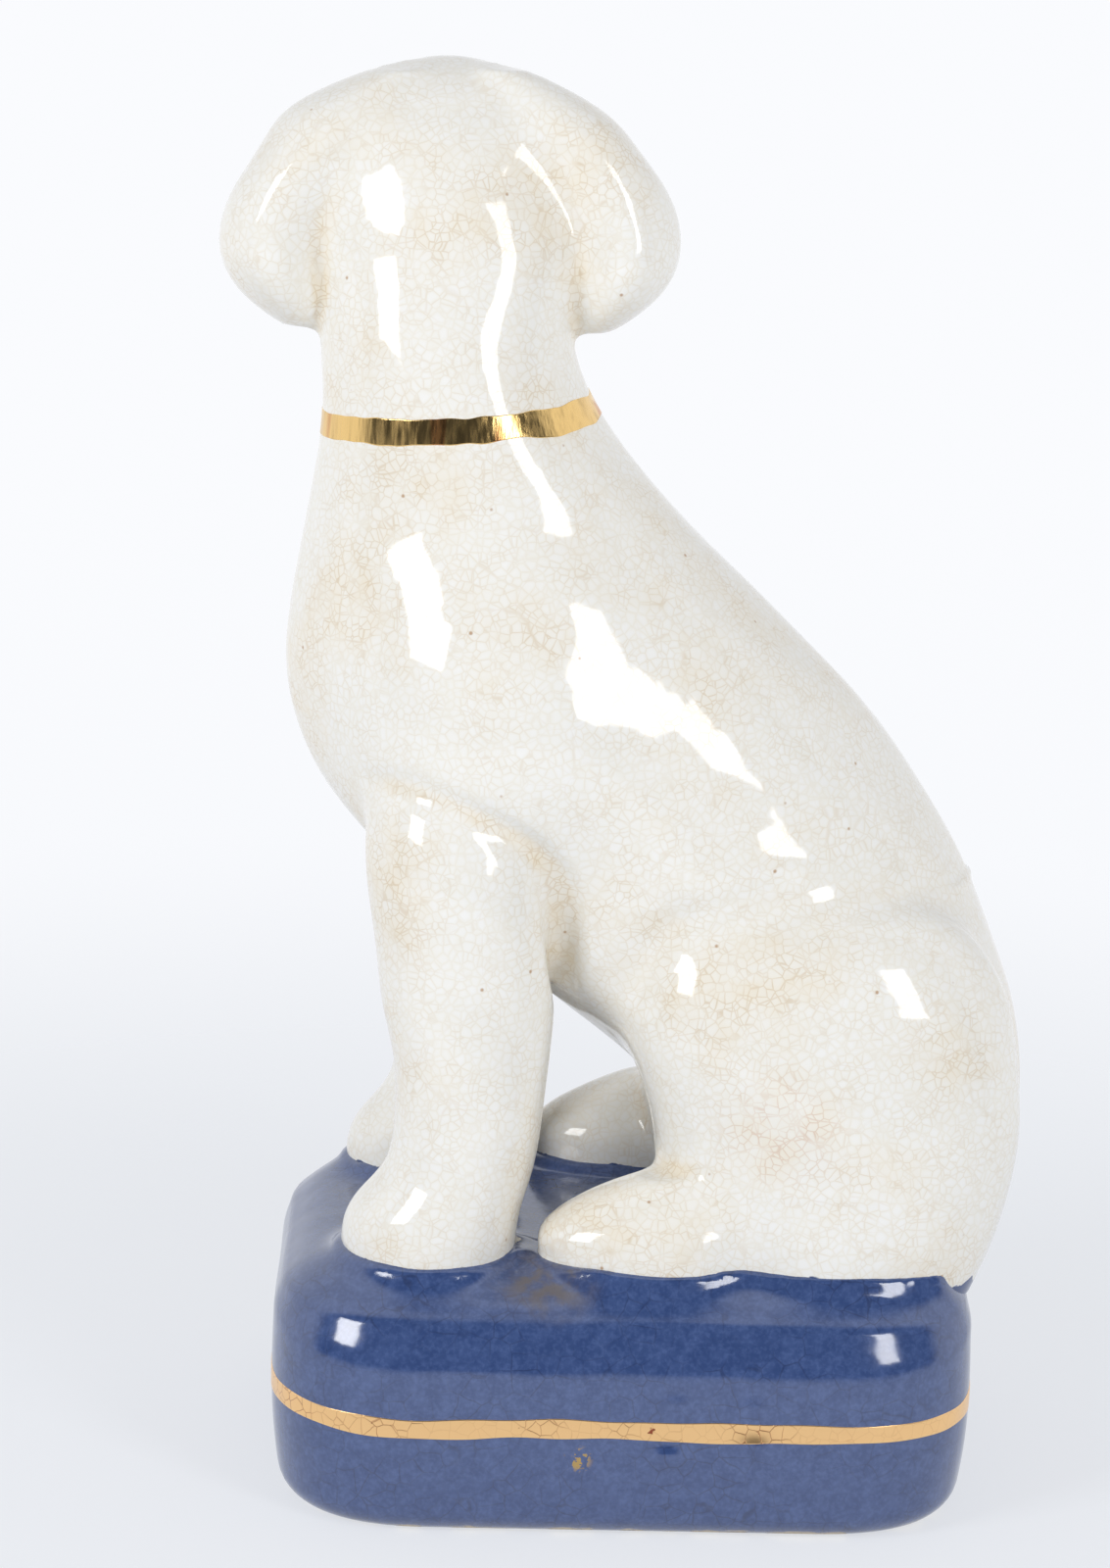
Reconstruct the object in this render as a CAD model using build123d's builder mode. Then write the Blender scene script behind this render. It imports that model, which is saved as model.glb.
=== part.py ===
"""Seated glazed pottery dog on a cushion plinth, built from the castings that are luted together.

The dog sits along X with its chest towards -X, and its head is turned to look towards +Y.
The origin is the middle of the pour hole in the plinth's underside. Lengths are millimetres.
"""

import math
import os

from build123d import *

# Plinth: a hollow cushion-shaped casting, set a little forward (-Y) of the dog, with a slab luted
# into its foot that holds the pour hole
PLINTH_LENGTH = 111.0
PLINTH_WIDTH = 86.4
PLINTH_HEIGHT = 39.7
PLINTH_FORWARD = 2.6
PLINTH_CORNER_RADIUS = 19.0
PLINTH_TOP_ROUND = 10.0
PLINTH_FOOT_ROUND = 5.0
PLINTH_FOOT_DRAW_IN = 2.2
PLINTH_TOP_DRAW_IN = 0.5
PLINTH_WALL = 6.0
PLINTH_FLOOR = 6.0
POUR_HOLE_DIAMETER = 18.0

# Gilding: bands of fired gold that lie on the glaze
GILDING_THICKNESS = 0.3
PLINTH_BAND_HEIGHT = 18.5
PLINTH_BAND_WIDTH = 2.8
COLLAR_DROP = 24.4
COLLAR_WIDTH = 3.4
COLLAR_TILT_ANGLE = 5.5

# Body casting: from the rump on the plinth up to the top of the neck
BODY_RISE = 154.0
CHEST_REACH = 55.5
RUMP_REACH = 64.0
BODY_WIDTH = 59.0
CASTING_WALL = 6.0
SHOULDER_LENGTH = 44.0
SHOULDER_HEIGHT = 56.0
SHOULDER_BULGE = 3.5
SHOULDER_REACH = 24.0
SHOULDER_RISE = 80.0
VENT_DIAMETER = 8.0
VENT_SETBACK = 38.0

# Forelegs
FORELEG_HEIGHT = 76.0
FORELEG_SPREAD = 44.0
FORELEG_DEPTH = 30.0
FORELEG_WIDTH = 26.0
FORELEG_REACH = 28.5

# Haunches
HAUNCH_HEIGHT = 58.0
HAUNCH_LENGTH = 63.0
HAUNCH_THICKNESS = 36.0
HAUNCH_SPREAD = 39.0
HAUNCH_SETBACK = 30.5

# Hind paws
HIND_PAW_LENGTH = 36.0
HIND_PAW_HEIGHT = 16.0
HIND_PAW_WIDTH = 19.2
HIND_PAW_SPREAD = 52.4
HIND_PAW_REACH = 14.2

# Tail: lies along the side of the right haunch
TAIL_DIAMETER = 13.0
TAIL_SINK = 2.5
TAIL_HEIGHT = 7.0
TAIL_RISE = 10.0
TAIL_ROOT_ANGLE = 10.0
TAIL_SWEEP_ANGLE = 90.0

# Head: skull and muzzle
SKULL_WIDTH = 52.0
SKULL_LENGTH = 50.0
SKULL_HEIGHT = 47.0
HEAD_LIFT = 6.5
HEAD_FORWARD = 5.0
MUZZLE_LENGTH = 33.0
MUZZLE_WIDTH = 31.0
MUZZLE_HEIGHT = 27.0
MUZZLE_DROP = 7.5
MUZZLE_ROOT = 5.0

# Ears, eyes and nose
EAR_LENGTH = 39.5
EAR_SPREAD = 55.5
EAR_THICKNESS = 17.1
EAR_WIDTH = 25.6
EAR_ROOT_LIFT = 21.5
EAR_SETBACK = 2.5
EYE_DIAMETER = 7.0
EYE_SPREAD = 21.0
EYE_LIFT = 4.5
EYE_SINK = 2.2
NOSE_WIDTH = 12.0
NOSE_HEIGHT = 9.0
NOSE_DEPTH = 8.0
NOSE_LIFT = 3.5
NOSE_SINK = 3.0

# Shares of the body casting, from the rump up: height, front, back, half width
BODY_SHARES = [
    (-0.091, -0.43, 0.72, 0.5),
    (-0.013, -0.324, 0.875, 0.76),
    (0.065, -0.225, 0.975, 0.915),
    (0.143, -0.11, 0.997, 0.983),
    (0.221, 0.11, 0.981, 1.0),
    (0.299, 0.4, 0.927, 1.0),
    (0.377, 0.67, 0.841, 1.0),
    (0.455, 0.875, 0.731, 1.0),
    (0.532, 0.977, 0.6, 1.0),
    (0.61, 1.0, 0.422, 0.966),
    (0.688, 0.964, 0.222, 0.881),
    (0.766, 0.933, 0.036, 0.773),
    (0.844, 0.915, -0.105, 0.678),
    (0.922, 0.91, -0.184, 0.637),
    (1.0, 0.892, -0.203, 0.61),
]

# Shares of a foreleg, from the paw up: height, forward, half depth, half width, spread
FORELEG_SHARES = [
    (-0.08, 0.092, 0.425, 0.48, 1.05),
    (0.04, 0.073, 0.463, 0.515, 1.045),
    (0.16, -0.013, 0.437, 0.492, 1.04),
    (0.28, -0.083, 0.4, 0.458, 1.04),
    (0.4, -0.098, 0.412, 0.446, 1.02),
    (0.52, -0.092, 0.442, 0.465, 1.0),
    (0.64, -0.073, 0.467, 0.485, 0.97),
    (0.76, -0.053, 0.487, 0.5, 0.94),
    (0.88, -0.042, 0.492, 0.5, 0.89),
    (1.0, -0.033, 0.467, 0.46, 0.82),
]

# Shares of a haunch, from the plinth up: height, front, back, half thickness
HAUNCH_SHARES = [
    (-0.1, 0.31, 0.325, 0.39),
    (0.057, 0.365, 0.425, 0.461),
    (0.214, 0.408, 0.474, 0.486),
    (0.371, 0.433, 0.492, 0.494),
    (0.529, 0.47, 0.488, 0.489),
    (0.686, 0.5, 0.462, 0.467),
    (0.843, 0.433, 0.381, 0.403),
    (1.0, 0.167, 0.183, 0.15),
]

# Shares of a hind paw, from the plinth up: height, toe, heel, half width
HIND_PAW_SHARES = [
    (-0.5, 0.033, 0.95, 0.458),
    (-0.2, 0.011, 0.98, 0.484),
    (0.1, 0.0, 1.0, 0.5),
    (0.4, 0.008, 1.0, 0.49),
    (0.7, 0.158, 0.98, 0.385),
    (1.0, 0.43, 0.84, 0.20),
]

# Shares of the muzzle, from inside the skull to the lip: reach, half width, half height, drop
MUZZLE_SHARES = [
    (0.0, 0.5, 0.5, 0.6),
    (0.167, 0.48, 0.48, 0.75),
    (0.333, 0.45, 0.455, 0.9),
    (0.5, 0.42, 0.43, 1.0),
    (0.667, 0.38, 0.39, 1.0),
    (0.833, 0.315, 0.325, 1.0),
    (1.0, 0.12, 0.12, 1.0),
]

# Shares of an ear, from its root down: drop, spread, half thickness, half width
EAR_SHARES = [
    (0.0, 0.29, 0.205, 0.155),
    (0.143, 0.585, 0.435, 0.33),
    (0.286, 0.772, 0.445, 0.43),
    (0.429, 0.895, 0.468, 0.485),
    (0.571, 0.978, 0.474, 0.5),
    (0.714, 1.0, 0.462, 0.492),
    (0.857, 0.94, 0.404, 0.406),
    (1.0, 0.815, 0.19, 0.19),
]

# Shares of the tail, from its root to its tip: place along the sweep, half thickness
TAIL_SHARES = [
    (0.0, 0.2),
    (0.167, 0.42),
    (0.333, 0.5),
    (0.5, 0.48),
    (0.667, 0.42),
    (0.833, 0.33),
    (1.0, 0.12),
]


def level_ellipses(rows):
    """Level ellipses to loft through: each row is centre x, centre y, height, x radius, y radius."""
    faces = []
    for centre_x, centre_y, height, radius_x, radius_y in rows:
        with BuildSketch(Plane((centre_x, centre_y, height))) as ring:
            Ellipse(radius_x, radius_y)
        faces.append(ring.sketch)
    return faces


def ellipsoid(centre, radii):
    """A rounded swelling of the clay with the given half sizes."""
    with BuildPart() as egg:
        Sphere(1)
        scale(by=radii)
    return egg.part.moved(Location(centre))


def plinth_outline(height, inset):
    """The plinth's level outline at a height, drawn in by inset on every side."""
    with BuildSketch(Plane((0, -PLINTH_FORWARD, height))) as outline:
        RectangleRounded(
            PLINTH_LENGTH - 2 * inset,
            PLINTH_WIDTH - 2 * inset,
            PLINTH_CORNER_RADIUS - inset,
        )
    return outline.sketch


def cushion(grow):
    """The plinth's rounded form, swollen round its sides by grow."""
    outlines = [
        plinth_outline(0, PLINTH_FOOT_DRAW_IN - grow),
        plinth_outline(PLINTH_HEIGHT / 2, -grow),
        plinth_outline(PLINTH_HEIGHT, PLINTH_TOP_DRAW_IN - grow),
    ]
    with BuildPart() as form:
        loft(outlines)
        fillet(form.faces().sort_by(Axis.Z)[-1].edges(), PLINTH_TOP_ROUND)
        fillet(form.faces().sort_by(Axis.Z)[0].edges(), PLINTH_FOOT_ROUND)
    return form.part


def body_row(shares, grow):
    """One level ellipse of the body casting, swollen all round by grow."""
    rise, front, back, half_width = shares
    front_x = -CHEST_REACH * front - grow
    back_x = RUMP_REACH * back + grow
    return (
        (front_x + back_x) / 2,
        0,
        PLINTH_HEIGHT + BODY_RISE * rise,
        (back_x - front_x) / 2,
        BODY_WIDTH / 2 * half_width + grow,
    )


def body_form(grow):
    """The body casting's smooth form, swollen all round by grow."""
    with BuildPart() as form:
        loft(level_ellipses([body_row(shares, grow) for shares in BODY_SHARES]))
    return form.part


# Plinth, its floor and its gold band
plinth_block = cushion(0)
plinth_hollow_outline = plinth_outline(0, PLINTH_WALL + PLINTH_FOOT_DRAW_IN)
vent_plane = Plane((VENT_SETBACK, 0, PLINTH_HEIGHT - PLINTH_WALL))
with BuildPart() as plinth:
    add(plinth_block)
    add(plinth_hollow_outline)
    extrude(amount=PLINTH_HEIGHT - PLINTH_WALL, mode=Mode.SUBTRACT)
    with BuildSketch(vent_plane):
        Circle(VENT_DIAMETER / 2)
    extrude(amount=PLINTH_WALL, mode=Mode.SUBTRACT)

with BuildPart() as plinth_floor:
    add(plinth_hollow_outline)
    extrude(amount=PLINTH_FLOOR)
    with BuildSketch():
        Circle(POUR_HOLE_DIAMETER / 2)
    extrude(amount=PLINTH_FLOOR, mode=Mode.SUBTRACT)

with BuildPart() as plinth_gold_band:
    add(cushion(GILDING_THICKNESS))
    with BuildSketch(Plane.XY.offset(PLINTH_BAND_HEIGHT)):
        Rectangle(2 * PLINTH_LENGTH, 2 * PLINTH_WIDTH)
    extrude(amount=PLINTH_BAND_WIDTH / 2, both=True, mode=Mode.INTERSECT)
    add(plinth_block, mode=Mode.SUBTRACT)

# Body casting, hollow, with vents into the plinth and the head
neck_row = body_row(BODY_SHARES[-1], 0)
neck_x = neck_row[0]
neck_top = neck_row[2]
with BuildPart() as body_block:
    add(body_form(0))
    for side in (-1, 1):
        shoulder_centre = (-SHOULDER_REACH, side * BODY_WIDTH / 4, PLINTH_HEIGHT + SHOULDER_RISE)
        shoulder_depth = BODY_WIDTH / 4 + SHOULDER_BULGE
        add(ellipsoid(shoulder_centre, (SHOULDER_LENGTH / 2, shoulder_depth, SHOULDER_HEIGHT / 2)))
    add(plinth_block, mode=Mode.SUBTRACT)

with BuildPart() as body_hollow:
    add(body_form(-CASTING_WALL))
    split(bisect_by=Plane.XY.offset(PLINTH_HEIGHT + CASTING_WALL), keep=Keep.TOP)
    split(bisect_by=Plane.XY.offset(neck_top - CASTING_WALL), keep=Keep.BOTTOM)

with BuildPart() as body:
    add(body_block.part)
    add(body_hollow.part, mode=Mode.SUBTRACT)
    with BuildSketch(vent_plane.offset(PLINTH_WALL)):
        Circle(VENT_DIAMETER / 2)
    extrude(amount=CASTING_WALL, mode=Mode.SUBTRACT)
    with BuildSketch(Plane((neck_x, 0, neck_top - CASTING_WALL))):
        Circle(VENT_DIAMETER / 2)
    extrude(amount=CASTING_WALL, mode=Mode.SUBTRACT)

# Collar: a gold band round the neck that rises towards the nape
collar_plane = Plane((neck_x, 0, neck_top - COLLAR_DROP)).rotated((0, -COLLAR_TILT_ANGLE, 0))
with BuildPart() as collar_band:
    add(body_form(GILDING_THICKNESS))
    with BuildSketch(collar_plane):
        Rectangle(BODY_RISE, BODY_RISE)
    extrude(amount=COLLAR_WIDTH / 2, both=True, mode=Mode.INTERSECT)
    add(body_block.part, mode=Mode.SUBTRACT)

# Haunches
haunch_rows = []
for rise, front, back, half_thickness in HAUNCH_SHARES:
    haunch_rows.append(
        (
            HAUNCH_SETBACK + HAUNCH_LENGTH * (back - front) / 2,
            -HAUNCH_SPREAD / 2,
            PLINTH_HEIGHT + HAUNCH_HEIGHT * rise,
            HAUNCH_LENGTH * (back + front) / 2,
            HAUNCH_THICKNESS * half_thickness,
        )
    )
with BuildPart() as haunch_block:
    loft(level_ellipses(haunch_rows))
with BuildPart() as left_haunch:
    add(haunch_block.part)
    add(body_block.part, mode=Mode.SUBTRACT)
    add(plinth_block, mode=Mode.SUBTRACT)
with BuildPart() as right_haunch:
    mirror(left_haunch.part, about=Plane.XZ)

# Hind paws
hind_paw_rows = []
for rise, toe, heel, half_width in HIND_PAW_SHARES:
    hind_paw_rows.append(
        (
            HIND_PAW_LENGTH * (toe + heel) / 2 - HIND_PAW_REACH,
            -HIND_PAW_SPREAD / 2,
            PLINTH_HEIGHT + HIND_PAW_HEIGHT * rise,
            HIND_PAW_LENGTH * (heel - toe) / 2,
            HIND_PAW_WIDTH * half_width,
        )
    )
with BuildPart() as left_hind_paw:
    loft(level_ellipses(hind_paw_rows))
    add(haunch_block.part, mode=Mode.SUBTRACT)
    add(body_block.part, mode=Mode.SUBTRACT)
    add(plinth_block, mode=Mode.SUBTRACT)
with BuildPart() as right_hind_paw:
    mirror(left_hind_paw.part, about=Plane.XZ)

# Forelegs, each cast with its paw
foreleg_rows = []
for rise, forward, half_depth, half_width, spread in FORELEG_SHARES:
    foreleg_rows.append(
        (
            -FORELEG_REACH - FORELEG_DEPTH * forward,
            -FORELEG_SPREAD / 2 * spread,
            PLINTH_HEIGHT + FORELEG_HEIGHT * rise,
            FORELEG_DEPTH * half_depth,
            FORELEG_WIDTH * half_width,
        )
    )
with BuildPart() as left_foreleg:
    loft(level_ellipses(foreleg_rows))
    add(body_block.part, mode=Mode.SUBTRACT)
    add(plinth_block, mode=Mode.SUBTRACT)
with BuildPart() as right_foreleg:
    mirror(left_foreleg.part, about=Plane.XZ)

# Head: skull and muzzle in one casting, with a socket for the neck
skull_centre = Vector(neck_x, HEAD_FORWARD, neck_top + HEAD_LIFT)
skull_radii = (SKULL_WIDTH / 2, SKULL_LENGTH / 2, SKULL_HEIGHT / 2)
skull_hollow_radii = tuple(radius - CASTING_WALL for radius in skull_radii)
muzzle_faces = []
for reach, half_width, half_height, drop in MUZZLE_SHARES:
    muzzle_point = skull_centre + Vector(0, MUZZLE_ROOT + MUZZLE_LENGTH * reach, -MUZZLE_DROP * drop)
    with BuildSketch(Plane(muzzle_point, x_dir=(-1, 0, 0), z_dir=(0, 1, 0))) as muzzle_ring:
        Ellipse(MUZZLE_WIDTH * half_width, MUZZLE_HEIGHT * half_height)
    muzzle_faces.append(muzzle_ring.sketch)

with BuildPart() as head_block:
    add(ellipsoid(skull_centre, skull_radii))
    loft(muzzle_faces)

with BuildPart() as head:
    add(head_block.part)
    add(ellipsoid(skull_centre, skull_hollow_radii), mode=Mode.SUBTRACT)
    add(body_block.part, mode=Mode.SUBTRACT)

# Ears
ear_rows = []
for drop, spread, half_thickness, half_width in EAR_SHARES:
    ear_rows.append(
        (
            neck_x - EAR_SPREAD / 2 * spread,
            HEAD_FORWARD - EAR_SETBACK,
            skull_centre.Z + EAR_ROOT_LIFT - EAR_LENGTH * drop,
            EAR_THICKNESS * half_thickness,
            EAR_WIDTH * half_width,
        )
    )
with BuildPart() as left_ear:
    loft(level_ellipses(ear_rows))
    add(head_block.part, mode=Mode.SUBTRACT)
    add(body_block.part, mode=Mode.SUBTRACT)
with BuildPart() as right_ear:
    mirror(left_ear.part, about=Plane.YZ.offset(neck_x))

# Eyes and nose: pads of clay under dark enamel
eye_depth_share = math.sqrt(
    1 - (EYE_SPREAD / SKULL_WIDTH) ** 2 - (2 * EYE_LIFT / SKULL_HEIGHT) ** 2
)
eye_y = SKULL_LENGTH / 2 * eye_depth_share - EYE_SINK
with BuildPart() as left_eye:
    with Locations(skull_centre + Vector(-EYE_SPREAD / 2, eye_y, EYE_LIFT)):
        Sphere(EYE_DIAMETER / 2)
    add(head_block.part, mode=Mode.SUBTRACT)
with BuildPart() as right_eye:
    mirror(left_eye.part, about=Plane.YZ.offset(neck_x))

nose_y = MUZZLE_ROOT + MUZZLE_LENGTH - NOSE_SINK
nose_centre = skull_centre + Vector(0, nose_y, NOSE_LIFT - MUZZLE_DROP)
with BuildPart() as nose:
    add(ellipsoid(nose_centre, (NOSE_WIDTH / 2, NOSE_DEPTH / 2, NOSE_HEIGHT / 2)))
    add(head_block.part, mode=Mode.SUBTRACT)

# Tail: a tapered roll of clay that follows the right haunch
tail_faces = []
tail_across = HAUNCH_THICKNESS / 2 - TAIL_SINK
tail_along = HAUNCH_LENGTH / 2 - TAIL_SINK
for place, half_thickness in TAIL_SHARES:
    angle = math.radians(TAIL_ROOT_ANGLE + TAIL_SWEEP_ANGLE * place)
    tail_point = Vector(
        HAUNCH_SETBACK + tail_along * math.cos(angle),
        HAUNCH_SPREAD / 2 + tail_across * math.sin(angle),
        PLINTH_HEIGHT + TAIL_HEIGHT + TAIL_RISE * place,
    )
    tail_heading = Vector(-tail_along * math.sin(angle), tail_across * math.cos(angle), 0)
    with BuildSketch(Plane(tail_point, x_dir=(0, 0, 1), z_dir=tail_heading)) as tail_ring:
        Circle(TAIL_DIAMETER * half_thickness)
    tail_faces.append(tail_ring.sketch)
with BuildPart() as tail:
    loft(tail_faces)
    mirror(haunch_block.part, about=Plane.XZ, mode=Mode.SUBTRACT)
    add(body_block.part, mode=Mode.SUBTRACT)
    add(plinth_block, mode=Mode.SUBTRACT)

pieces = {
    "plinth": plinth,
    "plinth_floor": plinth_floor,
    "plinth_gold_band": plinth_gold_band,
    "body": body,
    "collar_band": collar_band,
    "left_haunch": left_haunch,
    "right_haunch": right_haunch,
    "left_hind_paw": left_hind_paw,
    "right_hind_paw": right_hind_paw,
    "left_foreleg": left_foreleg,
    "right_foreleg": right_foreleg,
    "tail": tail,
    "head": head,
    "left_ear": left_ear,
    "right_ear": right_ear,
    "left_eye": left_eye,
    "right_eye": right_eye,
    "nose": nose,
}
os.makedirs("parts", exist_ok=True)
for name, piece in pieces.items():
    piece.part.label = name
    export_step(piece.part, f"parts/{name}.step")
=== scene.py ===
"""Glazed look of a seated pottery dog on a blue cushion plinth with gold bands.

The dog's castings are luted and glazed over, so one clay skin stands for them. It is grown from
the same forms as the castings, blended at their joins. Lengths are metres in the part's frame.
"""

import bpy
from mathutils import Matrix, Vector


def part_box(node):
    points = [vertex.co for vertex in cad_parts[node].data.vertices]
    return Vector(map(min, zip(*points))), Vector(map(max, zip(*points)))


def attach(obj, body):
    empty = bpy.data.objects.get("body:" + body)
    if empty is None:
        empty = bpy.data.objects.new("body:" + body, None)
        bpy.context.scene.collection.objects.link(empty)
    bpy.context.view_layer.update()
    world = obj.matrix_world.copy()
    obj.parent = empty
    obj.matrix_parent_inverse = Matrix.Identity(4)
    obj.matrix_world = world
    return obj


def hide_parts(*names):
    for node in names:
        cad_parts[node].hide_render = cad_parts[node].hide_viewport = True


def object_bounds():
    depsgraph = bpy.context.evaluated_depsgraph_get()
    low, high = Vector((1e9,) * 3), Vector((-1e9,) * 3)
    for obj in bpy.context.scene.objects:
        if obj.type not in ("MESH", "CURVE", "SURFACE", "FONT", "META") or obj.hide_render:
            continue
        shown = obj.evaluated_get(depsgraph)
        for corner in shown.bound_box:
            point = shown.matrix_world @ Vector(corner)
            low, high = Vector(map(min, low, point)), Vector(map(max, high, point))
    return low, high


bl_info = {
    "name": "Glazed pottery dog",
    "version": (1, 0, 0),
    "blender": (4, 5, 0),
    "location": "View3D > Sidebar > Pottery dog",
    "description": "Builds the glazed skin, plinth, gilding and studio of a seated pottery dog",
    "category": "Object",
}

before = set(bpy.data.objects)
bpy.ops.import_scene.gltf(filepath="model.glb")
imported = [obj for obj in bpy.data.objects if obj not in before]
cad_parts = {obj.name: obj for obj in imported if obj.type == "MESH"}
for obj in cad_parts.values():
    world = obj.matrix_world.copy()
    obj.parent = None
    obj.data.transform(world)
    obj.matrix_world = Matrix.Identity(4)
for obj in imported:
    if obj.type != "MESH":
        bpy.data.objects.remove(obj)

import math

import bpy
import numpy as np
import openvdb
from bpy.props import FloatProperty, FloatVectorProperty, PointerProperty
from mathutils import Matrix, Vector
from mathutils.bvhtree import BVHTree

CAD_BOX = [list(corner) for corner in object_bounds()]


def node_box(name):
    """The lowest and highest corner of one casting."""
    low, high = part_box(name)
    return np.array(low), np.array(high)


PLINTH_LOW, PLINTH_HIGH = node_box("plinth")
BODY_LOW, BODY_HIGH = node_box("body")
HEAD_LOW, HEAD_HIGH = node_box("head")
COLLAR_LOW, COLLAR_HIGH = node_box("collar_band")
BAND_LOW, BAND_HIGH = node_box("plinth_gold_band")
PLINTH_TOP = PLINTH_HIGH[2]
NECK_TOP = BODY_HIGH[2]
EYE_NODES = ("left_eye", "right_eye")
DOG_NODES = (
    "body", "head", "left_ear", "right_ear", "left_foreleg", "right_foreleg",
    "left_haunch", "right_haunch", "left_hind_paw", "right_hind_paw", "tail",
)

# Trunk and neck
TRUNK_HALF_WIDTH = 0.0295
SHOULDER_CENTRE = (-0.021, 0.01475, 0.122)
SHOULDER_RADII = (0.022, 0.01825, 0.028)

# Forelegs
FORELEG_HEIGHT = 0.076
FORELEG_SPREAD = 0.022
FORELEG_DEPTH = 0.030
FORELEG_WIDTH = 0.026
FORELEG_REACH = 0.0285

# Haunches and hind paws
HAUNCH_HEIGHT = 0.058
HAUNCH_LENGTH = 0.063
HAUNCH_THICKNESS = 0.036
HAUNCH_SPREAD = 0.0195
HAUNCH_SETBACK = 0.0305
HIND_PAW_LENGTH = 0.036
HIND_PAW_HEIGHT = 0.0145
HIND_PAW_WIDTH = 0.0212
HIND_PAW_SPREAD = 0.0270
HIND_PAW_REACH = 0.0142

# Tail
TAIL_DIAMETER = 0.013
TAIL_SINK = 0.0025
TAIL_HEIGHT = 0.007
TAIL_RISE = 0.010
TAIL_ROOT_ANGLE = math.radians(10)
TAIL_SWEEP_ANGLE = math.radians(90)
TAIL_STATIONS = 48

# Slip that ran together between the paws of the near side
BRIDGE_POINTS = (
    (-0.0167, -0.0216, 0.0395),
    (-0.0145, -0.0261, 0.0390),
    (-0.0122, -0.0301, 0.0385),
)
BRIDGE_RADII = (0.0022, 0.0018, 0.0022)
BRIDGE_BLEND = 0.002

# Head and ears
SKULL_RADII = (0.0247, 0.0219, 0.0230)
SKULL_Y = 0.0091
SKULL_LIFT = 0.0065
SKULL_CENTRE = np.array(((HEAD_LOW[0] + HEAD_HIGH[0]) / 2, SKULL_Y, NECK_TOP + SKULL_LIFT))
MUZZLE_LENGTH = 0.033
MUZZLE_WIDTH = 0.031
MUZZLE_HEIGHT = 0.027
MUZZLE_DROP = 0.0075
MUZZLE_ROOT = 0.0009
EAR_LENGTH = 0.0395
EAR_SPREAD = 0.02745
EAR_THICKNESS = 0.0171
EAR_WIDTH = 0.0256
EAR_ROOT_LIFT = 0.0215
EAR_SETBACK = 0.0066

# Plinth
PLINTH_HALF = (PLINTH_HIGH - PLINTH_LOW) / 2
PLINTH_MIDDLE_Y = (PLINTH_HIGH[1] + PLINTH_LOW[1]) / 2
PLINTH_CORNER = 0.027
PLINTH_CORNER_FULLNESS = 2.6
PLINTH_FRONT_ROUND = 0.0125
PLINTH_END_ROUND = 0.010
PLINTH_FOOT_ROUND = 0.0045
PLINTH_FOOT_DRAW_IN = 0.0022
PLINTH_TOP_DRAW_IN = 0.0005
PLINTH_WALL = 0.006
PLINTH_TOP_SINK = 0.0006

# Shares of the trunk, from the rump up: height, front, back, half width
TRUNK_SHARES = (
    (-0.091, -0.43, 0.72, 0.5),
    (-0.013, -0.324, 0.875, 0.76),
    (0.065, -0.225, 0.975, 0.915),
    (0.143, -0.08, 0.997, 0.983),
    (0.221, 0.145, 0.981, 1.0),
    (0.299, 0.43, 0.927, 1.0),
    (0.377, 0.67, 0.841, 1.0),
    (0.455, 0.875, 0.731, 1.0),
    (0.532, 0.977, 0.6, 1.0),
    (0.61, 1.0, 0.422, 0.966),
    (0.688, 0.964, 0.222, 0.881),
    (0.766, 0.933, 0.036, 0.773),
    (0.844, 0.915, -0.105, 0.70),
    (0.922, 0.91, -0.184, 0.622),
    (1.0, 0.892, -0.203, 0.515),
    (1.08, 0.84, -0.24, 0.39),
    (1.13, 0.78, -0.30, 0.24),
)

# Shares of a foreleg, from the paw up: height, forward, half depth, half width, spread
FORELEG_SHARES = (
    (-0.08, 0.092, 0.425, 0.48, 1.05),
    (0.04, 0.073, 0.463, 0.515, 1.045),
    (0.1, 0.032, 0.448, 0.508, 1.042),
    (0.17, -0.052, 0.4, 0.468, 1.04),
    (0.28, -0.102, 0.382, 0.442, 1.04),
    (0.4, -0.113, 0.397, 0.442, 1.02),
    (0.52, -0.092, 0.442, 0.465, 1.0),
    (0.64, -0.073, 0.467, 0.485, 0.97),
    (0.76, -0.053, 0.487, 0.5, 0.94),
    (0.88, -0.042, 0.492, 0.5, 0.89),
    (1.0, -0.033, 0.467, 0.46, 0.82),
)

# Shares of a haunch, from the plinth up: height, front, back, half thickness
HAUNCH_SHARES = (
    (-0.1, 0.31, 0.39, 0.45),
    (0.057, 0.365, 0.45, 0.482),
    (0.214, 0.408, 0.476, 0.49),
    (0.371, 0.433, 0.492, 0.494),
    (0.529, 0.47, 0.488, 0.489),
    (0.686, 0.5, 0.462, 0.467),
    (0.843, 0.433, 0.381, 0.403),
    (1.0, 0.167, 0.183, 0.15),
)

# Shares of a hind paw, from the plinth up: height, toe, heel, half width
HIND_PAW_SHARES = (
    (-0.5, 0.033, 0.95, 0.458),
    (-0.2, 0.011, 0.98, 0.484),
    (0.1, 0.0, 1.0, 0.5),
    (0.4, 0.008, 1.0, 0.49),
    (0.7, 0.158, 0.98, 0.385),
    (1.0, 0.43, 0.84, 0.20),
)

# Shares of the muzzle, from inside the skull to the lip: reach, half width, half height, drop
MUZZLE_SHARES = (
    (0.0, 0.5, 0.5, 0.6),
    (0.167, 0.48, 0.48, 0.75),
    (0.333, 0.45, 0.455, 0.9),
    (0.5, 0.42, 0.43, 1.0),
    (0.667, 0.38, 0.39, 1.0),
    (0.833, 0.325, 0.33, 1.0),
    (0.95, 0.12, 0.12, 1.0),
)

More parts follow.
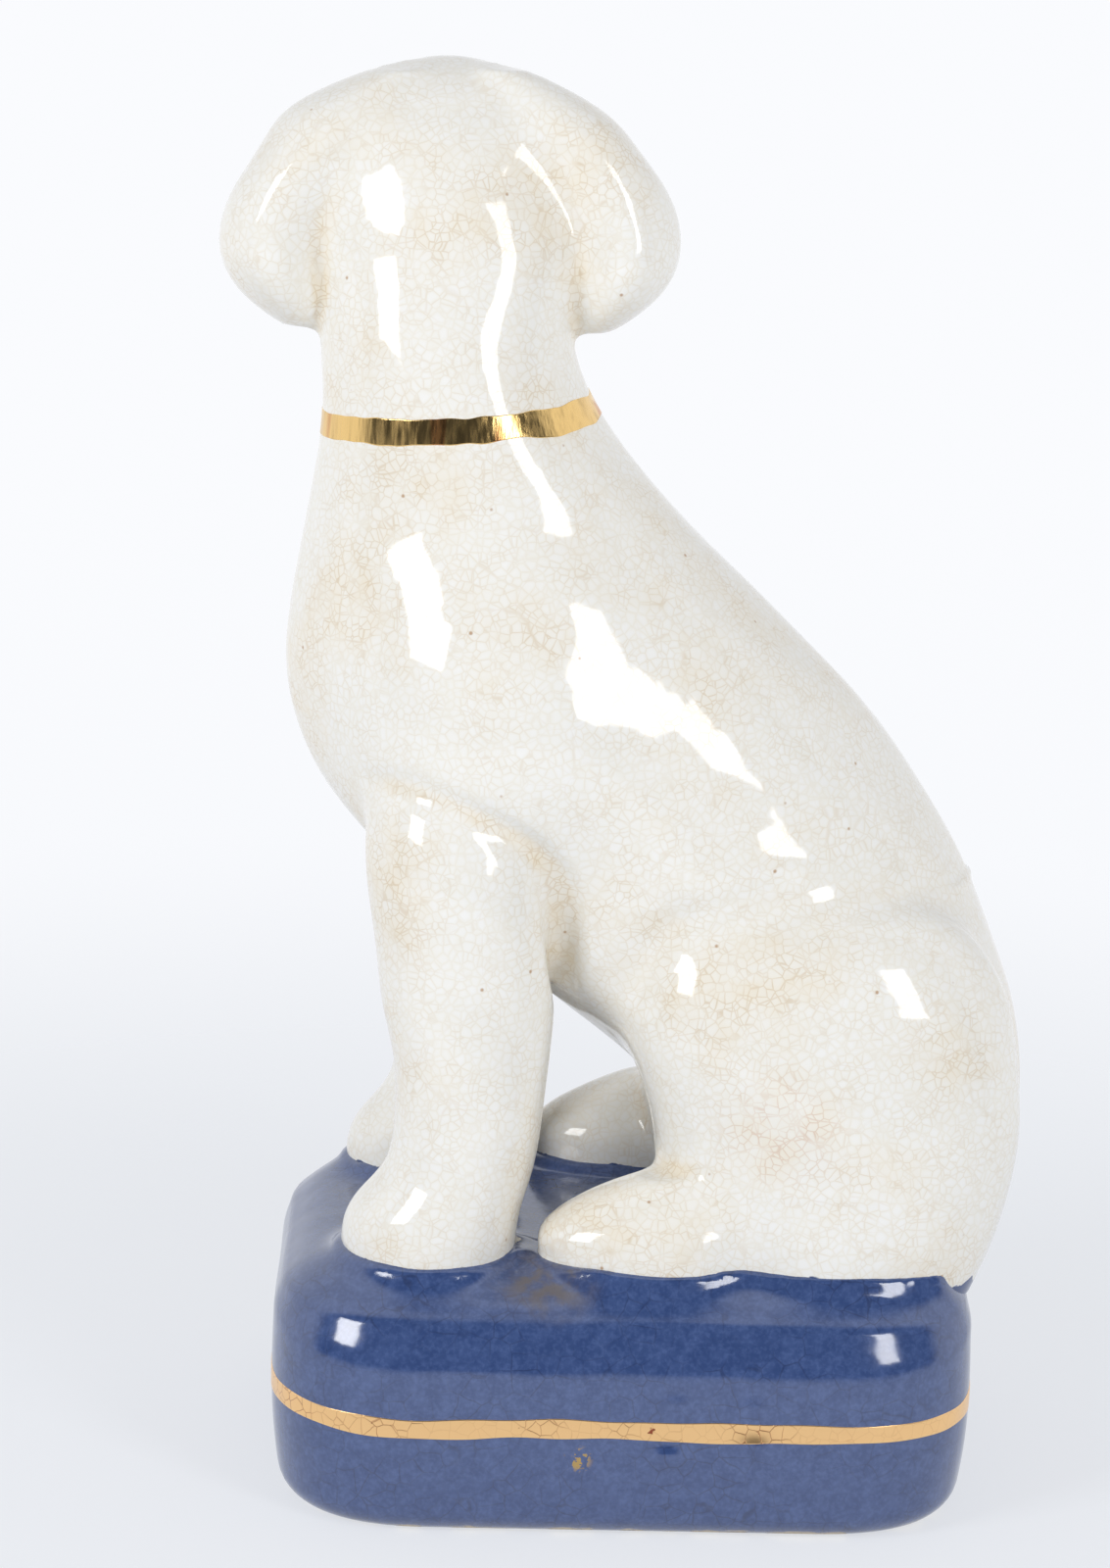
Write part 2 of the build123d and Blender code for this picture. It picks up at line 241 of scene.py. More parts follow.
# Hand-tooled face, each place given across, forward and up from the middle of the skull.
# Swellings: place, half sizes and blend; those off the middle line are made on both sides
FACE_SWELLINGS = (
    ((0.0095, 0.0162, 0.0112), (0.0065, 0.0045, 0.0032), 0.005),
    ((0.0062, 0.0246, -0.0112), (0.0062, 0.0086, 0.0070), 0.002),
    ((0.0, 0.0225, -0.0178), (0.0075, 0.0080, 0.0036), 0.0025),
)

# Hollows: place, half sizes and blend
FACE_HOLLOWS = (((0.01125, 0.0212, 0.0048), (0.0052, 0.0030, 0.0044), 0.002),)

# Grooves: points along the tool's path, its radius and the blend of its edges
LIP_CLEFT = ((0.0, 0.0338, -0.0075), (0.0, 0.0334, -0.0110), (0.0, 0.0324, -0.0150))
MOUTH = (
    (0.0, 0.0316, -0.0152),
    (0.0042, 0.0306, -0.0172),
    (0.0082, 0.0280, -0.0174),
    (0.0112, 0.0240, -0.0160),
    (0.0124, 0.0200, -0.0136),
)
BROW_FURROW = ((0.0, 0.0208, 0.0075), (0.0, 0.0180, 0.0135))
EAR_CREASE = (
    (0.0190, 0.0105, 0.0140),
    (0.0232, 0.0090, 0.0060),
    (0.0248, 0.0072, -0.0020),
    (0.0240, 0.0060, -0.0100),
    (0.0212, 0.0050, -0.0160),
)
FACE_GROOVES = (
    (LIP_CLEFT, 0.0013, 0.0010),
    (MOUTH, 0.0014, 0.0010),
    (BROW_FURROW, 0.0014, 0.004),
    (EAR_CREASE, 0.0017, 0.0025),
)

# Eyelids: points from the eye's middle, radius and blend
UPPER_LID = (
    (-0.0038, 0.0012, 0.0002),
    (-0.0023, 0.0030, 0.0025),
    (0.0, 0.0036, 0.0034),
    (0.0023, 0.0028, 0.0024),
    (0.0038, 0.0010, -0.0002),
)
LOWER_LID = (
    (-0.0038, 0.0012, 0.0002),
    (-0.0021, 0.0030, -0.0025),
    (0.0, 0.0034, -0.0033),
    (0.0022, 0.0027, -0.0025),
    (0.0038, 0.0010, -0.0002),
)
EYELIDS = ((UPPER_LID, 0.0012, 0.0010), (LOWER_LID, 0.0010, 0.0010))
TOOL_STATIONS = 40

# Creases beside the body, made on both sides: where a foreleg was luted under the chest, and the
# valley over a haunch. Each has the points along the tool's path, its radius and its blend
LUTING_CREASE = (
    (-0.0436, -0.0238, 0.1144),
    (-0.0354, -0.0309, 0.1147),
    (-0.0263, -0.0336, 0.1119),
    (-0.0184, -0.0326, 0.1076),
    (-0.0135, -0.0302, 0.1024),
    (-0.0113, -0.0278, 0.0964),
    (-0.0110, -0.0248, 0.0894),
    (-0.0116, -0.0202, 0.0821),
)
HAUNCH_VALLEY = (
    (-0.0013, -0.0308, 0.0836),
    (0.0031, -0.0322, 0.0906),
    (0.0070, -0.0327, 0.0942),
    (0.0133, -0.0330, 0.0962),
    (0.0230, -0.0312, 0.0995),
    (0.0325, -0.0287, 0.1009),
    (0.0424, -0.0236, 0.1017),
    (0.0531, -0.0168, 0.0979),
)
BODY_CREASES = ((LUTING_CREASE, 0.0026, 0.0025), (HAUNCH_VALLEY, 0.0045, 0.004))

# Shares of an ear, from its tip up to its root: drop, spread, half thickness, half width
EAR_SHARES = (
    (1.0, 0.815, 0.19, 0.19),
    (0.857, 0.94, 0.404, 0.406),
    (0.714, 1.0, 0.462, 0.492),
    (0.571, 0.978, 0.474, 0.5),
    (0.429, 0.895, 0.468, 0.485),
    (0.286, 0.772, 0.445, 0.43),
    (0.143, 0.585, 0.435, 0.33),
    (0.0, 0.29, 0.205, 0.155),
)

# Shares of the tail, from its root to its tip: place along the sweep, half thickness
TAIL_SHARES = (
    (0.0, 0.2), (0.167, 0.42), (0.333, 0.5), (0.5, 0.48), (0.667, 0.42), (0.833, 0.33), (1.0, 0.12),
)

# Joins of the castings: how far the clay is smoothed over each one
SHOULDER_BLEND = 0.012
NAPE_BLEND = 0.008
CROWN_BLEND = 0.0012
MUZZLE_BLEND = 0.008
EAR_ROOT_BLEND = 0.012
EAR_TIP_BLEND = 0.004
HAUNCH_BLEND = 0.006
HIND_PAW_BLEND = 0.006
FORELEG_BLEND = 0.003
TAIL_BLEND = 0.002

# Heights between which a blend changes: above the neck, and from the skull's middle in half heights
CROWN_RISE = (0.002, 0.015)
EAR_ROOT_SPAN = (-0.8, 0.2)
EAR_CROWN_SPAN = (0.5, 1.0)

# Working sizes of the clay fields
FAR = 0.02
FIELD_MARGIN = 0.006
BLEND_REACH = 0.016
SKIN_STEP = 0.0007
PLINTH_STEP = 0.0008
ENAMEL_STEP = 0.0002
ENAMEL_MARGIN = 0.001
SKIN_SINK = 0.002
SMOOTHING_PASSES = 6
SMOOTHING_STRENGTHS = (0.5, -0.53)
SLOPE_STEPS = 2000
TINY = 1e-6

# Unevenness of the hand-finished clay: waves in each waver, how often each one fits the waver's
# length and its latest start, and the skin's wavers by depth, length and seed
WAVES = 6
WAVES_PER_LENGTH = (0.7, 1.5)
LATEST_START = 6.3
SKIN_WAVERS = ((0.0007, 0.03, 21), (0.00028, 0.016, 22))

# Unevenness of the plinth: the hand-cut sides, and the glaze that climbs against the paws
CUSHION_WAVER = 0.0004
CUSHION_WAVER_LENGTH = 0.045
CUSHION_SEED = 3
MOULD_LINE_HEIGHT = 0.0344
MOULD_LINE_PROUD = 0.00032
MOULD_LINE_WIDTH = 0.0010
MOULD_LINE_WAVER = 0.0006
MOULD_LINE_WAVER_LENGTH = 0.05
MOULD_LINE_SEED = 7
POOL_WAVER_SHARE = 0.5
POOL_WAVER_LENGTH = 0.011
POOL_SEED = 5
POOL_BODY = 0.0003
POOL_FILLET = 0.007
POOL_INSET = 0.004

# Drips of glaze on the plinth's long side: place along X and up, rise, half width and half height
DRIPS = (
    (0.0064, 0.0142, 0.0007, 0.0030, 0.0016),
    (0.0199, 0.0160, 0.0006, 0.0026, 0.0015),
    (0.0078, 0.0226, 0.00025, 0.0026, 0.0012),
    (0.0194, 0.0222, 0.00025, 0.0026, 0.0012),
)

# Gold bands: stations round and across a band, and the waver of the brush
BAND_STATIONS = 360
BAND_ROWS = (-1.0, -0.96, -0.9, -0.5, 0.0, 0.5, 0.9, 0.96, 1.0)
BAND_WAVER_SHARE = 0.16
BAND_WAVER_LENGTHS = (0.05, 0.02, 0.06)
BAND_SINK = 0.00005
BAND_CAST = 0.09
COLLAR_SEED = 11
BAND_SEED = 12

# Eyes and nose
NOSTRIL_SHARES = (0.45, 0.84, -0.1)
NOSTRIL_RADII = (0.0013, 0.0016, 0.0010)
NOSTRIL_BLEND = 0.0006
PUPIL_REACH = (0.0013, 0.00156)
IRIS_REACH = (0.0024, 0.00276)

# Marks in the crackle glaze: the reddened cracks of the near haunch, the specks, the long cracks,
# the blue tide round the dog's foot, higher at its rump, and painted shade in the creases, tinted like
# the stain
BLUSH_PLACE = (0.0232, -0.035, 0.0647)
BLUSH_REACH = (0.003, 0.014)
PINHOLE_SPACING = 0.007
LONG_CRACKS = 0.0055
ABOVE_PLINTH = "above_plinth"
RUMP_TIDE = 0.0022
RUMP_TIDE_REACH = (0.046, 0.060)
CREASE_SHADE = "crease_shade"
CREASE_BENDS = (15.0, 110.0)
CREASE_SPREAD = 6

# Marks in the blue glaze: the brown smudge between the near paws, and the stray gold on the front
SMUDGE_PLACE = (-0.0123, -0.0349, 0.0385)
SMUDGE_REACH = (0.003, 0.0105)
STRAY_GOLD_PLACE = (-0.0072, -0.0454, 0.0138)
STRAY_GOLD_REACH = (0.0010, 0.0026)

# Recipes of the glazes. Warp: size of its clouds and how far they push. Clouds: size, detail, the
# noise that they run between and, unless they are 0 and 1, the values there. Ramp: what it runs
# between and, unless they are 0 and 1, the values there. Relief: size, detail and depth
CRACKLE_WARP = (0.006, 0.0006)
STAIN_CLOUDS = (0.026, 4.0, 0.44, 0.70)
WASH_CLOUDS = (0.005, 3.0, 0.35, 0.7, 0.10, 0.36)
CRACK_CLOUDS = (0.004, 2.0, 0.35, 0.65, 0.08, 0.27)
TIDE_CLOUDS = (0.004, 4.0, 0.3, 0.7, -0.001, 0.001)
CELL_RAMP = (0.03, 0.30)
STAINED_CELL_RAMP = (0.0, 1.0, 0.6, 0.35)
TONE_RAMP = (0.45, 0.85, 0.0, 0.25)
FINE_CRACK_RAMP = (0.0, 0.085, 1.0, 0.0)
LONG_CRACK_RAMP = (0.0, 0.03, 0.8, 0.0)
STAINED_CRACK_RAMP = (0.0, 1.0, 0.75, 1.6)
PINHOLE_RAMP = (0.02, 0.06, 0.75, 0.0)
TIDE_RAMP = (0.0013, 0.0016, 1.0, 0.0)
# How strongly the painted shade in the creases takes the stain's tan colour
CREASE_SHADE_WASH = 0.14
BLUSH_SHARE = 0.7
CRACKLE_ROUGHNESS = 0.07
CRACKLE_RELIEF = (0.005, 1.0, 0.00008)
COBALT_WARP = (0.005, 0.0008)
CRAZE_SIZE = 0.0034
CRAZE_CLOUDS = (0.008, 2.0, 0.35, 0.65, 0.04, 0.34)
CRAZE_RAMP = (0.008, 0.045, 1.0, 0.0)
CRAZE_COLOUR = (0.012, 0.012, 0.03)
SPECKLE_CLOUDS = (0.0007, 2.0, 0.40, 0.70)
MOTTLE_CLOUDS = (0.0024, 3.0, 0.35, 0.70)
MOTTLE_SHARE = 0.35
SMUDGE_CLOUDS = (0.003, 4.0, 0.42, 0.62, 0.2, 0.8)
SMUDGE_MATT = 0.35
STRAY_GOLD_CLOUDS = (0.0009, 2.0, 0.52, 0.58)
STRAY_GOLD_SHADE = 0.6
FOOT_CLOUDS = (0.006, 2.0, 0.3, 0.7, -0.0008, 0.0008)
FOOT_RAMP = (0.0004, 0.001, 1.0, 0.0)
COBALT_ROUGHNESS_RAMP = (0.0, 1.0, 0.12, 0.7)
COBALT_RELIEF = (0.007, 1.0, 0.0001)
CLAY_GRAIN = (0.0012, 4.0)
GRAIN_RAMP = (0.3, 0.7, 0.1, 0.7)
GRAIN_DEPTH = 0.0002
CLAY_CLOUDS = (0.018, 3.0, 0.3, 0.7)
CLAY_SHADE = 0.62
CLAY_ROUGHNESS = 0.8

# Recipes of the gold and the enamel
BRUSH_STRETCH = (1.0, 1.0, 0.12)
THIN_GOLD_CLOUDS = (0.0016, 3.0, 0.45, 0.75)
THIN_GOLD_SHARE = 0.5
THIN_GOLD_SHADE = 0.55
RED_CLOUDS = (0.005, 1.0, 0.62, 0.68)
RED_SHARE = 0.55
RED_COLOUR = (0.55, 0.16, 0.05)
COLLAR_ROUGHNESS_CLOUDS = (0.0008, 2.0, 0.3, 0.7, 0.14, 0.3)
COLLAR_RELIEF = (0.0006, 2.0, 0.00004)
BAND_WARP = (0.004, 0.0006)
BAND_CRAZE_SIZE = 0.0021
BAND_CRAZE_RAMP = (0.0, 0.045, 1.0, 0.0)
BAND_WEAR_CLOUDS = (0.012, 3.0, 0.42, 0.7, 0.12, 0.8)
BAND_PIT_CLOUDS = (0.0022, 2.0, 0.73, 0.77)
BAND_MARK_COLOUR = (0.30, 0.07, 0.03)
BAND_MARK_DEPTH = -0.00004
BAND_METAL_RAMP = (0.0, 1.0, 1.0, 0.5)
BAND_ROUGHNESS = 0.28
IRIS_CLOUDS = (0.0007, 2.0, 0.3, 0.7)
IRIS_COLOURS = ((0.16, 0.062, 0.018), (0.07, 0.026, 0.009))
EYE_RIM_COLOUR = (0.02, 0.012, 0.009)
PUPIL_COLOUR = (0.004, 0.004, 0.004)
EYE_ROUGHNESS = 0.05
NOSE_CLOUDS = (0.003, 3.0, 0.3, 0.7)
NOSE_COLOURS = ((0.012, 0.009, 0.008), (0.045, 0.026, 0.016))
NOSE_ROUGHNESS = 0.1
NOSE_RELIEF = (0.002, 2.0, 0.00005)

# Studio: each softbox's name, turn from the camera, lift, width, height and share of the power
SOFTBOXES = (
    ("left_softbox", math.radians(-52), math.radians(23), 0.36, 0.42, 1.1),
    ("right_softbox", math.radians(38), math.radians(21), 0.25, 0.65, 0.92),
)
SOFTBOX_DISTANCE = 1.1
FLOOR_RADIUS = 0.42
FLOOR_FADE_START = 0.08
FLOOR_RINGS = 24
FLOOR_SEGMENTS = 96
FLOOR_GLOW_SHARE = 0.68
PAPER_COLOUR = (0.86, 0.885, 0.93)
PAPER_ROUGHNESS = 0.9
BACKDROP_LOW = (0.90, 0.92, 0.96)
BACKDROP_HIGH = (0.955, 0.965, 0.99)
BACKDROP_RISE = (-0.40, -0.15)
ROOM_COLOUR = (0.04, 0.043, 0.05)
ROOM_DEPTH = (-0.3, 0.0)
ROOM_RISE = (-0.31, -0.14)
AMBIENT_COLOUR = (0.675, 0.685, 0.705)
CEILING_COLOUR = (0.26, 0.265, 0.275)
CEILING_RISE = (0.25, 0.95)
SWEEP_COLOUR = (0.93, 0.94, 0.96)
SWEEP_DEPTH = (0.0, 0.9)


def colour_setting(name, description, default):
    """A colour in a group of settings."""
    return FloatVectorProperty(
        name=name, description=description, subtype="COLOR", default=default, min=0, max=1
    )


def length_setting(name, description, default, low, high):
    """A length in a group of settings."""
    return FloatProperty(
        name=name, description=description, unit="LENGTH", default=default, min=low, max=high
    )


def angle_setting(name, description, degrees):
    """An angle in a group of settings."""
    return FloatProperty(
        name=name, description=description, subtype="ANGLE", default=math.radians(degrees)
    )


class DogGlazeSettings(bpy.types.PropertyGroup):
    """Colours of the dog's crackle glaze."""

    glaze_colour: colour_setting("Glaze", "Creamy glaze", (0.86, 0.84, 0.775))
    pale_colour: colour_setting("Cells", "Whiter middle of a crackle cell", (0.89, 0.885, 0.865))
    wash_colour: colour_setting("Stain", "Tea-coloured stain along the cracks", (0.80, 0.66, 0.43))
    crack_colour: colour_setting("Cracks", "Fine lines of the crackle", (0.56, 0.38, 0.17))
    blush_colour: colour_setting("Blush", "Redder cracks on the near haunch", (0.58, 0.25, 0.15))
    pinhole_colour: colour_setting("Pinholes", "Small brown specks", (0.42, 0.22, 0.08))
    crackle_size: length_setting("Crackle size", "Usual width of a cell", 0.0014, 0.0005, 0.01)


class PlinthSettings(bpy.types.PropertyGroup):
    """Colours and pooling of the plinth's blue glaze."""

    cobalt_colour: colour_setting("Cobalt", "Deep blue of the thick glaze", (0.034, 0.066, 0.190))
    mottle_colour: colour_setting("Mottle", "Paler blue of the thin glaze", (0.082, 0.132, 0.31))
    smudge_colour: colour_setting("Smudge", "Brown between the near paws", (0.12, 0.10, 0.09))
    clay_colour: colour_setting("Bare clay", "Unglazed clay at the foot", (0.66, 0.56, 0.42))
    pool_rise: length_setting("Pool rise", "Glaze's climb against the paws", 0.0009, 0, 0.004)


class GildingSettings(bpy.types.PropertyGroup):
    """Sizes and colours of the fired gold."""

    collar_width: length_setting("Collar width", "Width of the collar", 0.0040, 0.001, 0.01)
    band_width: length_setting("Band width", "Width of the plinth's band", 0.0031, 0.001, 0.01)
    thickness: length_setting("Thickness", "How far the gold stands off", 0.00008, 0.00005, 0.0005)
    gold_colour: colour_setting("Gold", "Bright fired gold", (0.88, 0.60, 0.24))
    band_colour: colour_setting("Band gold", "Paler gold round the plinth", (0.98, 0.63, 0.30))


class StageSettings(bpy.types.PropertyGroup):
    """Camera and studio."""

    azimuth: angle_setting("Azimuth", "Camera's turn round the figure", -1.57)
    elevation: angle_setting("Elevation", "Camera's height above the horizon", 13.23)
    roll: angle_setting("Roll", "Tilt of the camera about its own axis", 1.67)
    distance: length_setting("Distance", "From the camera to its target", 0.7023, 0.1, 10)
    target: FloatVectorProperty(
        name="Target", description="Point that the camera looks at", subtype="TRANSLATION",
        unit="LENGTH", default=(-0.0127, -0.00555, 0.1112),
    )
    lens: FloatProperty(
        name="Lens", description="Focal length in millimetres on a 36 mm sensor", default=102.2, min=10,
    )
    lamp_power: FloatProperty(
        name="Lamp power", description="Power of each softbox", unit="POWER", default=4.1, min=0,
    )


def spline(at, places, values):
    """Values on a curve of even bend through given places."""
    places = np.asarray(places, float)
    values = np.asarray(values, float)
    gaps = np.diff(places)
    slopes = np.diff(values) / gaps
    count = len(places)
    system = np.eye(count)
    changes = np.zeros(count)
    for i in range(1, count - 1):
        system[i, i - 1 : i + 2] = gaps[i - 1], 2 * (gaps[i - 1] + gaps[i]), gaps[i]
        changes[i] = 6 * (slopes[i] - slopes[i - 1])
    bends = np.linalg.solve(system, changes)
    at = np.clip(at, places[0], places[-1])
    left = np.clip(np.searchsorted(places, at) - 1, 0, count - 2)
    gap = gaps[left]
    before = places[left + 1] - at
    after = at - places[left]
    return (
        bends[left] * before**3 / (6 * gap)
        + bends[left + 1] * after**3 / (6 * gap)
        + (values[left] / gap - bends[left] * gap / 6) * before
        + (values[left + 1] / gap - bends[left + 1] * gap / 6) * after
    )


def soft_union(first, second, blend):
    """Joins two distance fields, smoothing the corner between them over the blend length."""
    overlap = np.maximum(blend - np.abs(first - second), 0) / blend
    return np.minimum(first, second) - overlap**3 * blend / 6


def soft_step(value, low, high):
    """From 0 at low to 1 at high, with no corner."""
    share = np.clip((value - low) / (high - low), 0, 1)
    return share * share * (3 - 2 * share)


class Loft:
    """A rounded form through ellipses set along one axis.

    It takes their places along the axis, their centres' two coordinates across it and their two radii.
    """

    def __init__(self, places, centres, radii, axis=2):
        rows = np.stack(np.broadcast_arrays(places, *centres, *radii), axis=1)
        self.rows = rows[np.argsort(rows[:, 0])]
        self.axis = axis
        self.across = [other for other in range(3) if other != axis]
        self.low = np.empty(3)
        self.high = np.empty(3)
        self.low[axis] = self.rows[0, 0]
        self.high[axis] = self.rows[-1, 0]
        for column, other in enumerate(self.across):
            self.low[other] = np.min(self.rows[:, 1 + column] - self.rows[:, 3 + column])
            self.high[other] = np.max(self.rows[:, 1 + column] + self.rows[:, 3 + column])

    def section(self, place):
        """Centre and radii at a place along the axis. Squared radii make the ends round."""
        places = self.rows[:, 0]
        centres = [spline(place, places, self.rows[:, column]) for column in (1, 2)]
        squares = [spline(place, places, self.rows[:, column] ** 2) for column in (3, 4)]
        tiny = np.min(self.rows[:, 3:]) ** 2 / 4
        return centres + [np.sqrt(np.maximum(square, tiny)) for square in squares]

    def distance(self, x, y, z):
        """Distance from each point to the form's surface, below zero inside it."""
        coordinates = (x, y, z)
        place = coordinates[self.axis]
        nudge = (self.high[self.axis] - self.low[self.axis]) / SLOPE_STEPS
        centre_u, centre_v, radius_u, radius_v = self.section(place)
        ahead = self.section(place + nudge)
        behind = self.section(place - nudge)
        drift = [(a - b) / (2 * nudge) for a, b in zip(ahead, behind)]
        du = coordinates[self.across[0]] - centre_u
        dv = coordinates[self.across[1]] - centre_v
        ratio = np.sqrt((du / radius_u) ** 2 + (dv / radius_v) ** 2) + TINY
        pull_u = du / radius_u**2
        pull_v = dv / radius_v**2
        pull_along = (
            pull_u * drift[0]
            + pull_u * du * drift[2] / radius_u
            + pull_v * drift[1]
            + pull_v * dv * drift[3] / radius_v
        )
        steepness = np.sqrt(pull_u**2 + pull_v**2 + pull_along**2) / ratio + TINY
        beyond = np.maximum(self.low[self.axis] - place, place - self.high[self.axis])
        return np.maximum((ratio - 1) / steepness, beyond)


class Egg:
    """A rounded swelling with three half sizes."""

    def __init__(self, centre, radii):
        self.centre = np.array(centre, float)
        self.radii = np.array(radii, float)
        self.low = self.centre - self.radii
        self.high = self.centre + self.radii

    def distance(self, x, y, z):
        """Distance from each point to the swelling's surface, below zero inside it."""
        offsets = [c - m for c, m in zip((x, y, z), self.centre)]
        ratio = np.sqrt(sum((o / r) ** 2 for o, r in zip(offsets, self.radii))) + TINY
        steepness = np.sqrt(sum((o / r**2) ** 2 for o, r in zip(offsets, self.radii))) + TINY
        return ratio * (ratio - 1) / steepness


class Roll:
    """A tapered roll of clay along a row of points, each with its radius."""

    def __init__(self, points, radii):
        self.points = np.array(points, float)
        self.radii = np.array(radii, float)
        self.low = np.min(self.points - self.radii[:, None], axis=0)
        self.high = np.max(self.points + self.radii[:, None], axis=0)

    def distance(self, x, y, z):
        """Distance from each point to the roll's surface, below zero inside it."""
        nearest = np.inf
        for (px, py, pz), radius in zip(self.points, self.radii):
            reach = np.sqrt((x - px) ** 2 + (y - py) ** 2 + (z - pz) ** 2) - radius
            nearest = np.minimum(nearest, reach)
        return nearest


class ClayField:
    """A box of space that holds each point's distance to the clay, below zero inside it."""

    def __init__(self, low, high, step):
        self.low = np.array(low, float)
        self.step = step
        counts = np.ceil((np.array(high, float) - self.low) / step).astype(int) + 1
        self.axes = [self.low[i] + step * np.arange(counts[i]) for i in range(3)]
        self.depth = np.full(tuple(counts), FAR, np.float32)

    def part(self, low, high):
        """Slices and coordinates of the points between two corners."""
        where = []
        for places, first, last in zip(self.axes, low, high):
            where.append(slice(*np.searchsorted(places, (first, last))))
        x = self.axes[0][where[0]][:, None, None]
        y = self.axes[1][where[1]][None, :, None]
        z = self.axes[2][where[2]][None, None, :]
        return tuple(where), x, y, z

    def whole(self):
        """Coordinates of all the points."""
        return self.part(self.low - self.step, [places[-1] + self.step for places in self.axes])[1:]

    def add(self, form, blend):
        """Joins a form to the clay. The blend is a length, or a function of place that gives one."""
        where, x, y, z = self.part(form.low - BLEND_REACH, form.high + BLEND_REACH)
        length = blend(x, y, z) if callable(blend) else blend
        self.depth[where] = soft_union(self.depth[where], form.distance(x, y, z), length)

    def scrape(self, form, blend):
        """Takes a form out of the clay, with its edge softened over the blend length."""
        where, x, y, z = self.part(form.low - BLEND_REACH, form.high + BLEND_REACH)
        self.depth[where] = -soft_union(-self.depth[where], form.distance(x, y, z), blend)

    def mesh(self, name):
        """The clay's skin as a smooth closed mesh."""
        grid = openvdb.FloatGrid(FAR)
        grid.copyFromArray(self.depth.astype(np.float32))
        points, quads = grid.convertToQuads(0.0)
        points = np.asarray(points, float) * self.step + self.low
        quads = np.asarray(quads, int)
        points = np.clip(smoothed(points, quads), *CAD_BOX)
        return mesh_object(name, points, quads)


def averager(quads, count):
    """A function that gives each point the mean of the values at the points joined to it."""
    edges = np.concatenate([quads[:, (i, (i + 1) % 4)] for i in range(4)])
    ends = np.concatenate([edges[:, 0], edges[:, 1]])
    others = np.concatenate([edges[:, 1], edges[:, 0]])
    counts = np.bincount(ends, minlength=count)[:, None]

    def average(values):
        sums = [np.bincount(ends, column[others], count) for column in values.T]
        return np.stack(sums, axis=1) / counts

    return average


def smoothed(points, quads):
    """Points after passes that even out the surface and then push back what they shrank."""
    average = averager(quads, len(points))
    for strength in SMOOTHING_STRENGTHS * SMOOTHING_PASSES:
        points = points + strength * (average(points) - points)
    return points


def crease_shade_shares(mesh, step):
    """How far each point of a skin lies in a crease, from 0 to 1, spread a little to its sides. It
    marks where shade is painted into the glaze.
    """
    count = len(mesh.vertices)
    points = np.empty(count * 3)
    normals = np.empty(count * 3)
    quads = np.empty(len(mesh.loops), int)
    mesh.vertices.foreach_get("co", points)
    mesh.vertices.foreach_get("normal", normals)
    mesh.loops.foreach_get("vertex_index", quads)
    points = points.reshape(-1, 3)
    average = averager(quads.reshape(-1, 4), count)
    lift = np.sum((average(points) - points) * normals.reshape(-1, 3), axis=1, keepdims=True)
    bend = lift * 2 / step**2
    for _ in range(CREASE_SPREAD):
        bend = average(bend)
    return soft_step(bend[:, 0], *CREASE_BENDS)


def mesh_object(name, points, faces):
    """A smooth-shaded object with outward faces."""
    mesh = bpy.data.meshes.new(name)
    mesh.from_pydata(points.tolist(), [], [tuple(face) for face in np.asarray(faces).tolist()])
    corner = points[faces[:, 0]]
    crosses = np.cross(points[faces[:, 1]] - corner, points[faces[:, 2]] - corner)
    if np.sum(crosses * corner) < 0:
        mesh.flip_normals()
    mesh.polygons.foreach_set("use_smooth", [True] * len(mesh.polygons))
    mesh.update()
    made = bpy.data.objects.new(name, mesh)
    bpy.context.scene.collection.objects.link(made)
    return made


def hand_waver(x, y, z, length, seed):
    """Gentle unevenness between -1 and 1, as a hand leaves it, over about the given length."""
    draw = np.random.default_rng(seed)
    total = 0.0
    for _ in range(WAVES):
        heading = draw.normal(size=3)
        heading *= draw.uniform(*WAVES_PER_LENGTH) * 2 * math.pi / (length * np.linalg.norm(heading))
        start = draw.uniform(0, LATEST_START)
        total = total + np.sin(heading[0] * x + heading[1] * y + heading[2] * z + start)
    return total / WAVES


def trunk_loft():
    """Trunk and neck."""
    rise, front, back, half_width = np.transpose(TRUNK_SHARES)
    front = BODY_LOW[0] * front
    back = BODY_HIGH[0] * back
    return Loft(
        PLINTH_TOP + (NECK_TOP - PLINTH_TOP) * rise,
        ((front + back) / 2, 0),
        ((back - front) / 2, TRUNK_HALF_WIDTH * half_width),
    )


def foreleg_loft(side):
    """A foreleg with its paw, on the side -1 or 1 of the dog."""
    rise, forward, half_depth, half_width, spread = np.transpose(FORELEG_SHARES)
    return Loft(
        PLINTH_TOP + FORELEG_HEIGHT * rise,
        (-FORELEG_REACH - FORELEG_DEPTH * forward, side * FORELEG_SPREAD * spread),
        (FORELEG_DEPTH * half_depth, FORELEG_WIDTH * half_width),
    )


def haunch_loft(side):
    """A haunch, on the side -1 or 1 of the dog."""
    rise, front, back, half_thickness = np.transpose(HAUNCH_SHARES)
    return Loft(
        PLINTH_TOP + HAUNCH_HEIGHT * rise,
        (HAUNCH_SETBACK + HAUNCH_LENGTH * (back - front) / 2, side * HAUNCH_SPREAD),
        (HAUNCH_LENGTH * (back + front) / 2, HAUNCH_THICKNESS * half_thickness),
    )


def hind_paw_loft(side):
    """A hind paw, on the side -1 or 1 of the dog."""
    rise, toe, heel, half_width = np.transpose(HIND_PAW_SHARES)
    return Loft(
        PLINTH_TOP + HIND_PAW_HEIGHT * rise,
        (HIND_PAW_LENGTH * (toe + heel) / 2 - HIND_PAW_REACH, side * HIND_PAW_SPREAD),
        (HIND_PAW_LENGTH * (heel - toe) / 2, HIND_PAW_WIDTH * half_width),
    )


